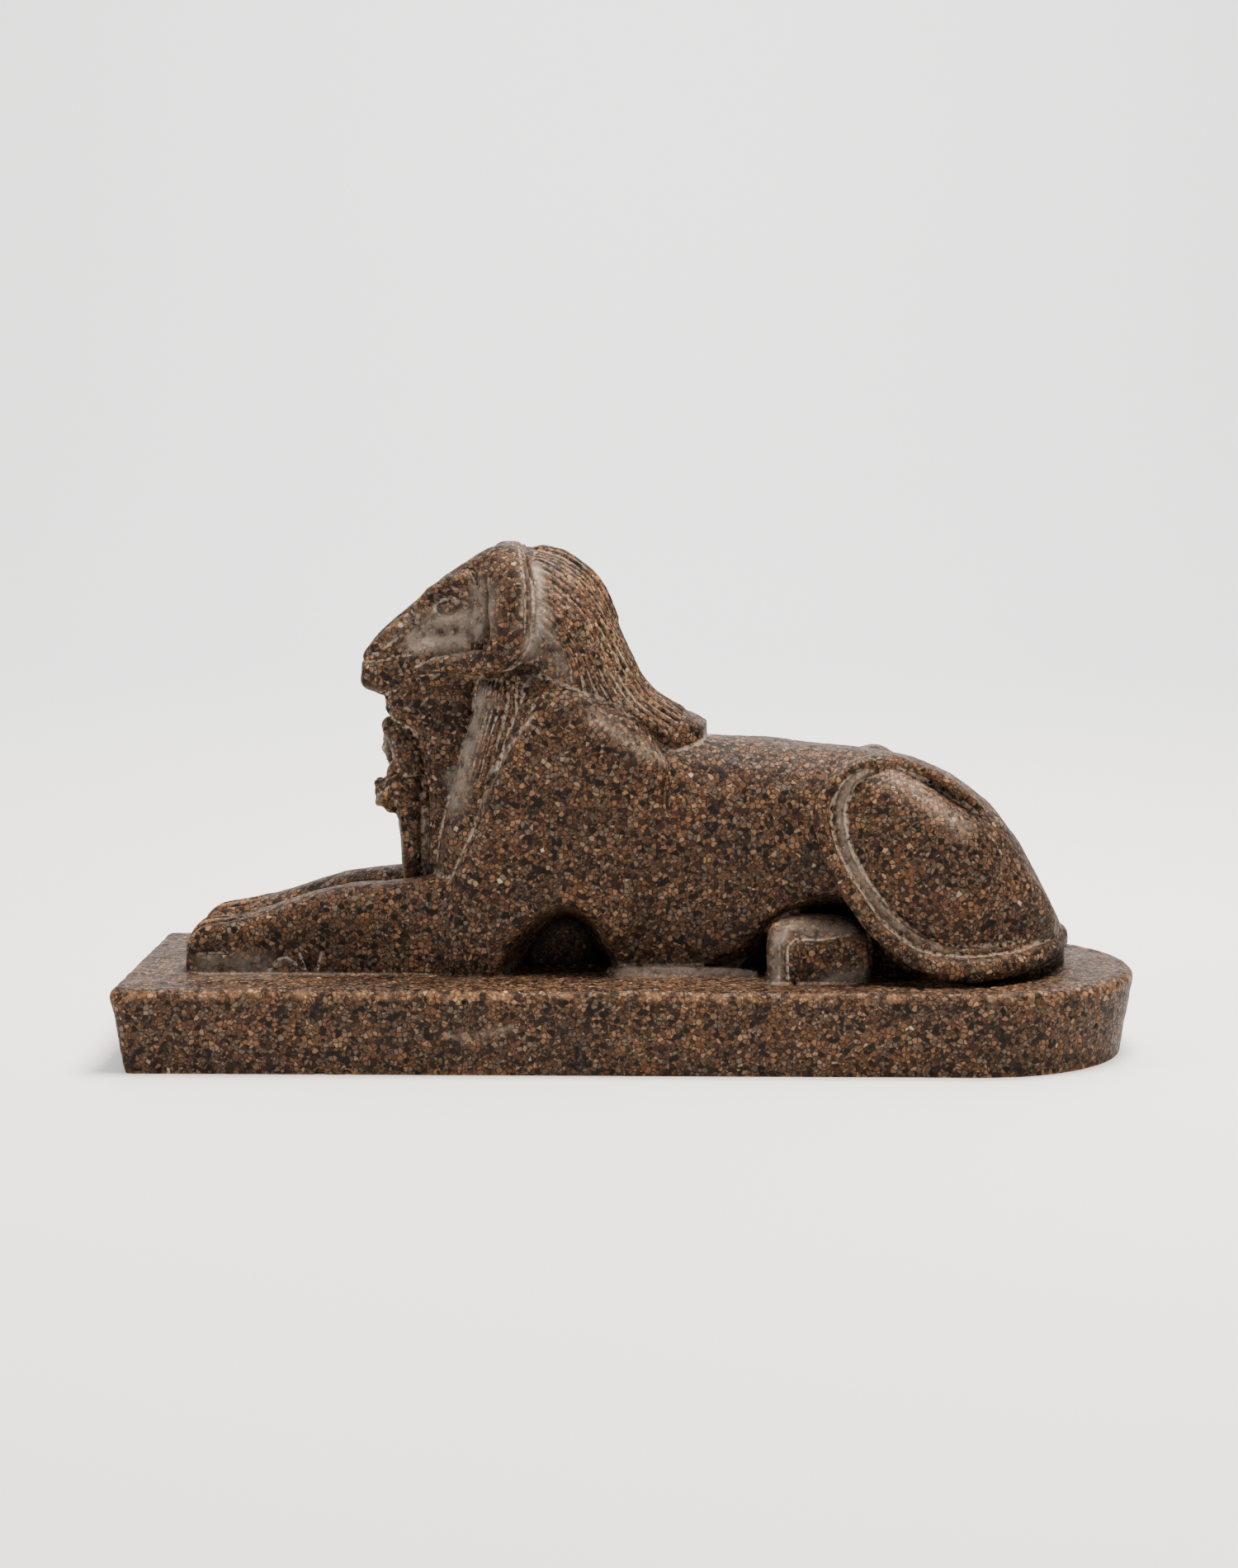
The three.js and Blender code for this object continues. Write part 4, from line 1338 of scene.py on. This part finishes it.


# Crushed stone in resin: warped cells give each grain its own colour, gloss and height, with fine grit
# between the coarse grains. Painted shade darkens hollows and pits, grey film and pale residue lie in
# creases, painted highlights lie along some ridges, edges and the king's front, and edges are worn to a warm
# cream that is partly their painted highlight.
def gritMaterial():
    board = Board("castGrit")
    place = board.node("TexCoord", "Object")
    mm = board.vector("MULTIPLY", place, (1000.0,) * 3)
    warp = board.node("TexNoise", "Color", Vector=mm, Scale=0.9, Detail=2.0)
    shift = board.vector("SUBTRACT", warp, (0.5,) * 3)
    warped = board.vector("ADD", mm, board.vector("MULTIPLY", shift, (grit["warp"],) * 3))
    shares = grit["shares"]

    def cells(size):
        inside = {"Vector": warped, "Scale": 1 / size, "Randomness": 1.0}
        colour = board.node("TexVoronoi", "Color", {"feature": "F1"}, **inside)
        edge = board.node("TexVoronoi", "Distance", {"feature": "DISTANCE_TO_EDGE"}, **inside)
        parts = board.tree.nodes.new("ShaderNodeSeparateColor")
        board.tree.links.new(colour.socket, parts.inputs[0])
        return [Field(board.tree, output) for output in parts.outputs], edge

    (kind, tone, shine), edge = cells(grit["coarse"])
    (fineKind, *_), fineEdge = cells(grit["fine"])
    gap = edge.between(0.02, 0.17)  # 0 in the seam between coarse grains, 1 on a grain
    small = tone.between(grit["fineFrom"], grit["fineFrom"] + 0.01)
    coarseColour = board.ramp(kind, grit["palette"])
    fineColour = board.ramp(fineKind, grit["finePalette"])
    colour = board.mix(small, coarseColour, fineColour)
    colour = board.shaded(1 - small, colour, tone / grit["fineFrom"], grit["tones"])
    speckle = board.node("TexNoise", "Fac", Vector=mm, Scale=3.2, Detail=3.0)
    colour = board.shaded(1.0, colour, speckle, grit["speckles"])
    seam = (1 - gap) * (1 - small) + (1 - fineEdge.between(0.02, 0.1)) * small * 0.8
    colour = board.mix(seam * shares["seam"], colour, grit["binder"])
    patch = board.node("TexNoise", "Fac", Vector=mm, Scale=0.045, Detail=3.0)
    colour = board.shaded(1.0, colour, patch, grit["patches"])

    fineHollow, broadHollow = board.attribute("fineHollow"), board.attribute("broadHollow")
    filmAndHighlight, pale, pit = board.attribute("filmAndHighlight"), board.attribute("pale"), board.attribute("pit")
    cloud = board.node("TexNoise", "Fac", Vector=mm, Scale=0.3, Detail=4.0)
    # Painted shade: hollows darken towards near black.
    paintedShade = (broadHollow.between(0.35, 1.5) * shares["paintedShade"]).clamped()
    colour = board.mix(paintedShade, colour, grit["paintedShade"])
    # Grey resin film in recesses, and a painted highlight on the king's front.
    hazeAndHighlight = (filmAndHighlight * cloud.between(0.26, 0.56) * shares["filmAndHighlight"]).clamped()
    colour = board.mix(hazeAndHighlight, colour, grit["filmAndHighlightGrey"])
    thread = board.node("TexNoise", "Fac", Vector=mm, Scale=0.8, Detail=3.0)
    creased = fineHollow.between(0.035, 0.13) * thread.between(0.34, 0.6)
    residue = (creased * (1 - broadHollow.between(0.7, 1.5))).clamped()
    colour = board.mix(residue * shares["residue"], colour, grit["residue"])
    # Pale residue in cracks and joints, and painted highlights along ridges and edges, lighten the grains
    # along the pale lines.
    paler = board.mix(grit["cover"], board.mix(1.0, colour, grit["paler"], "MULTIPLY"), grit["residue"])
    colour = board.mix((pale * thread.between(0.3, 0.5)).clamped(), colour, paler)
    # Convex edges turn a warm cream: partly wear, partly painted highlight.
    wornAndHighlit = ((fineHollow * -1.0).between(0.06, 0.2) * cloud.between(0.4, 0.66)).clamped()
    warmer = board.mix(grit["cover"], board.mix(1.0, colour, grit["warmer"], "MULTIPLY"), grit["wornAndHighlit"])
    colour = board.mix(wornAndHighlit, colour, warmer)
    # Painted shade: the pits are darkened towards near black.
    colour = board.mix(pit * shares["pit"], colour, grit["paintedShade"])

    rough = (0.44 + shine * 0.2 + hazeAndHighlight * 0.25 + residue * 0.2 + seam * 0.1).clamped()
    coarseHeight = gap * (1 - small) * (0.5 + 0.5 * kind)
    height = coarseHeight + fineEdge.between(0.0, 0.12) * small * 0.6 + speckle * 0.15
    bump = board.node("Bump", "Normal", Strength=0.55, Distance=grit["bump"], Height=height)
    surface = board.node(
        "BsdfPrincipled",
        "BSDF",
        Base_Color=colour,
        Roughness=rough,
        Normal=bump,
        IOR=1.45,
        Specular_IOR_Level=grit["gloss"],
    )
    return board.finished(surface)


statue.data.materials.clear()
statue.data.materials.append(gritMaterial())
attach(statue, "root")
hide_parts("sphinx_statue")
print("grit laid on")


# Stage

stage = {
    "floorHalfWidth": 4.0,
    "floorProfile": [(-3.0, 0), (1.1, 0), (1.5, 0.08), (1.8, 0.3), (1.95, 0.7), (2.0, 3.0)],  # y, z
    "floorColour": (0.86, 0.86, 0.86),
    "world": (1.0, 0.97, 0.94),
    "worldStrength": 0.1,
    "warmth": (1.0, 0.9, 0.79),
    # name, place, aim, size, power
    "lamps": [
        ("overhead", (0.2, -0.04, 0.9), (0, 0, 0.05), 0.42, 29),
        ("leftWindow", (-1.2, -0.5, 0.5), (0, 0, 0.07), 0.35, 13),
        ("rightWindow", (0.35, -1.15, 0.6), (0, 0, 0.05), 0.5, 3.9),
        ("backdrop", (0, 0.9, 1.6), (0, 2.2, 0.4), 1.6, 75),
    ],
    "camera": (13.53, -808.96, 179.52),  # the tables' millimetres
    "tilt": (82.59, 0, 1.25),
    "lens": 66.3,
}


# A wide pale floor and soft square lamps, each aimed at the statue.
def setStage():
    half = stage["floorHalfWidth"]
    profile = smoothRows([[i, *row] for i, row in enumerate(stage["floorProfile"])], np.linspace(0, 5, 61))
    corners = np.array([[x, y, z] for y, z in profile for x in (-half, half)])
    i = np.arange(60) * 2
    floorMesh = meshFrom("floor", corners, np.column_stack([i, i + 1, i + 3, i + 2]))
    floor = bpy.data.objects.new("floor", floorMesh)
    bpy.context.scene.collection.objects.link(floor)
    board = Board("paleFloor")
    mottle = board.node("TexNoise", "Fac", Vector=board.node("TexCoord", "Object"), Scale=3.0)
    colour = board.mix(mottle * 0.04, stage["floorColour"], (0.8, 0.8, 0.8))
    surface = board.node("BsdfPrincipled", "BSDF", Base_Color=colour, Roughness=0.7)
    floor.data.materials.append(board.finished(surface))

    world = bpy.data.worlds.new("studio")
    world.use_nodes = True
    background = world.node_tree.nodes["Background"]
    background.inputs[0].default_value = (*stage["world"], 1)
    background.inputs[1].default_value = stage["worldStrength"]
    bpy.context.scene.world = world

    for name, place, aim, size, power in stage["lamps"]:
        light = bpy.data.lights.new(name, "AREA")
        light.size, light.energy = size, power
        light.color = stage["warmth"] if name == "overhead" else (1, 1, 1)
        lamp = bpy.data.objects.new(name, light)
        lamp.location = place
        toward = np.array(aim) - np.array(place)
        lean = math.atan2(math.hypot(toward[0], toward[1]), -toward[2])
        lamp.rotation_euler = (lean, 0, math.atan2(toward[1], toward[0]) - math.pi / 2)
        bpy.context.scene.collection.objects.link(lamp)

    camera = bpy.data.objects.new("camera", bpy.data.cameras.new("camera"))
    camera.data.lens = stage["lens"]
    camera.data.sensor_width = 36
    camera.location = [value * unit for value in stage["camera"]]
    camera.rotation_euler = [math.radians(angle) for angle in stage["tilt"]]
    bpy.context.scene.collection.objects.link(camera)
    bpy.context.scene.camera = camera


setStage()
print("stage set")
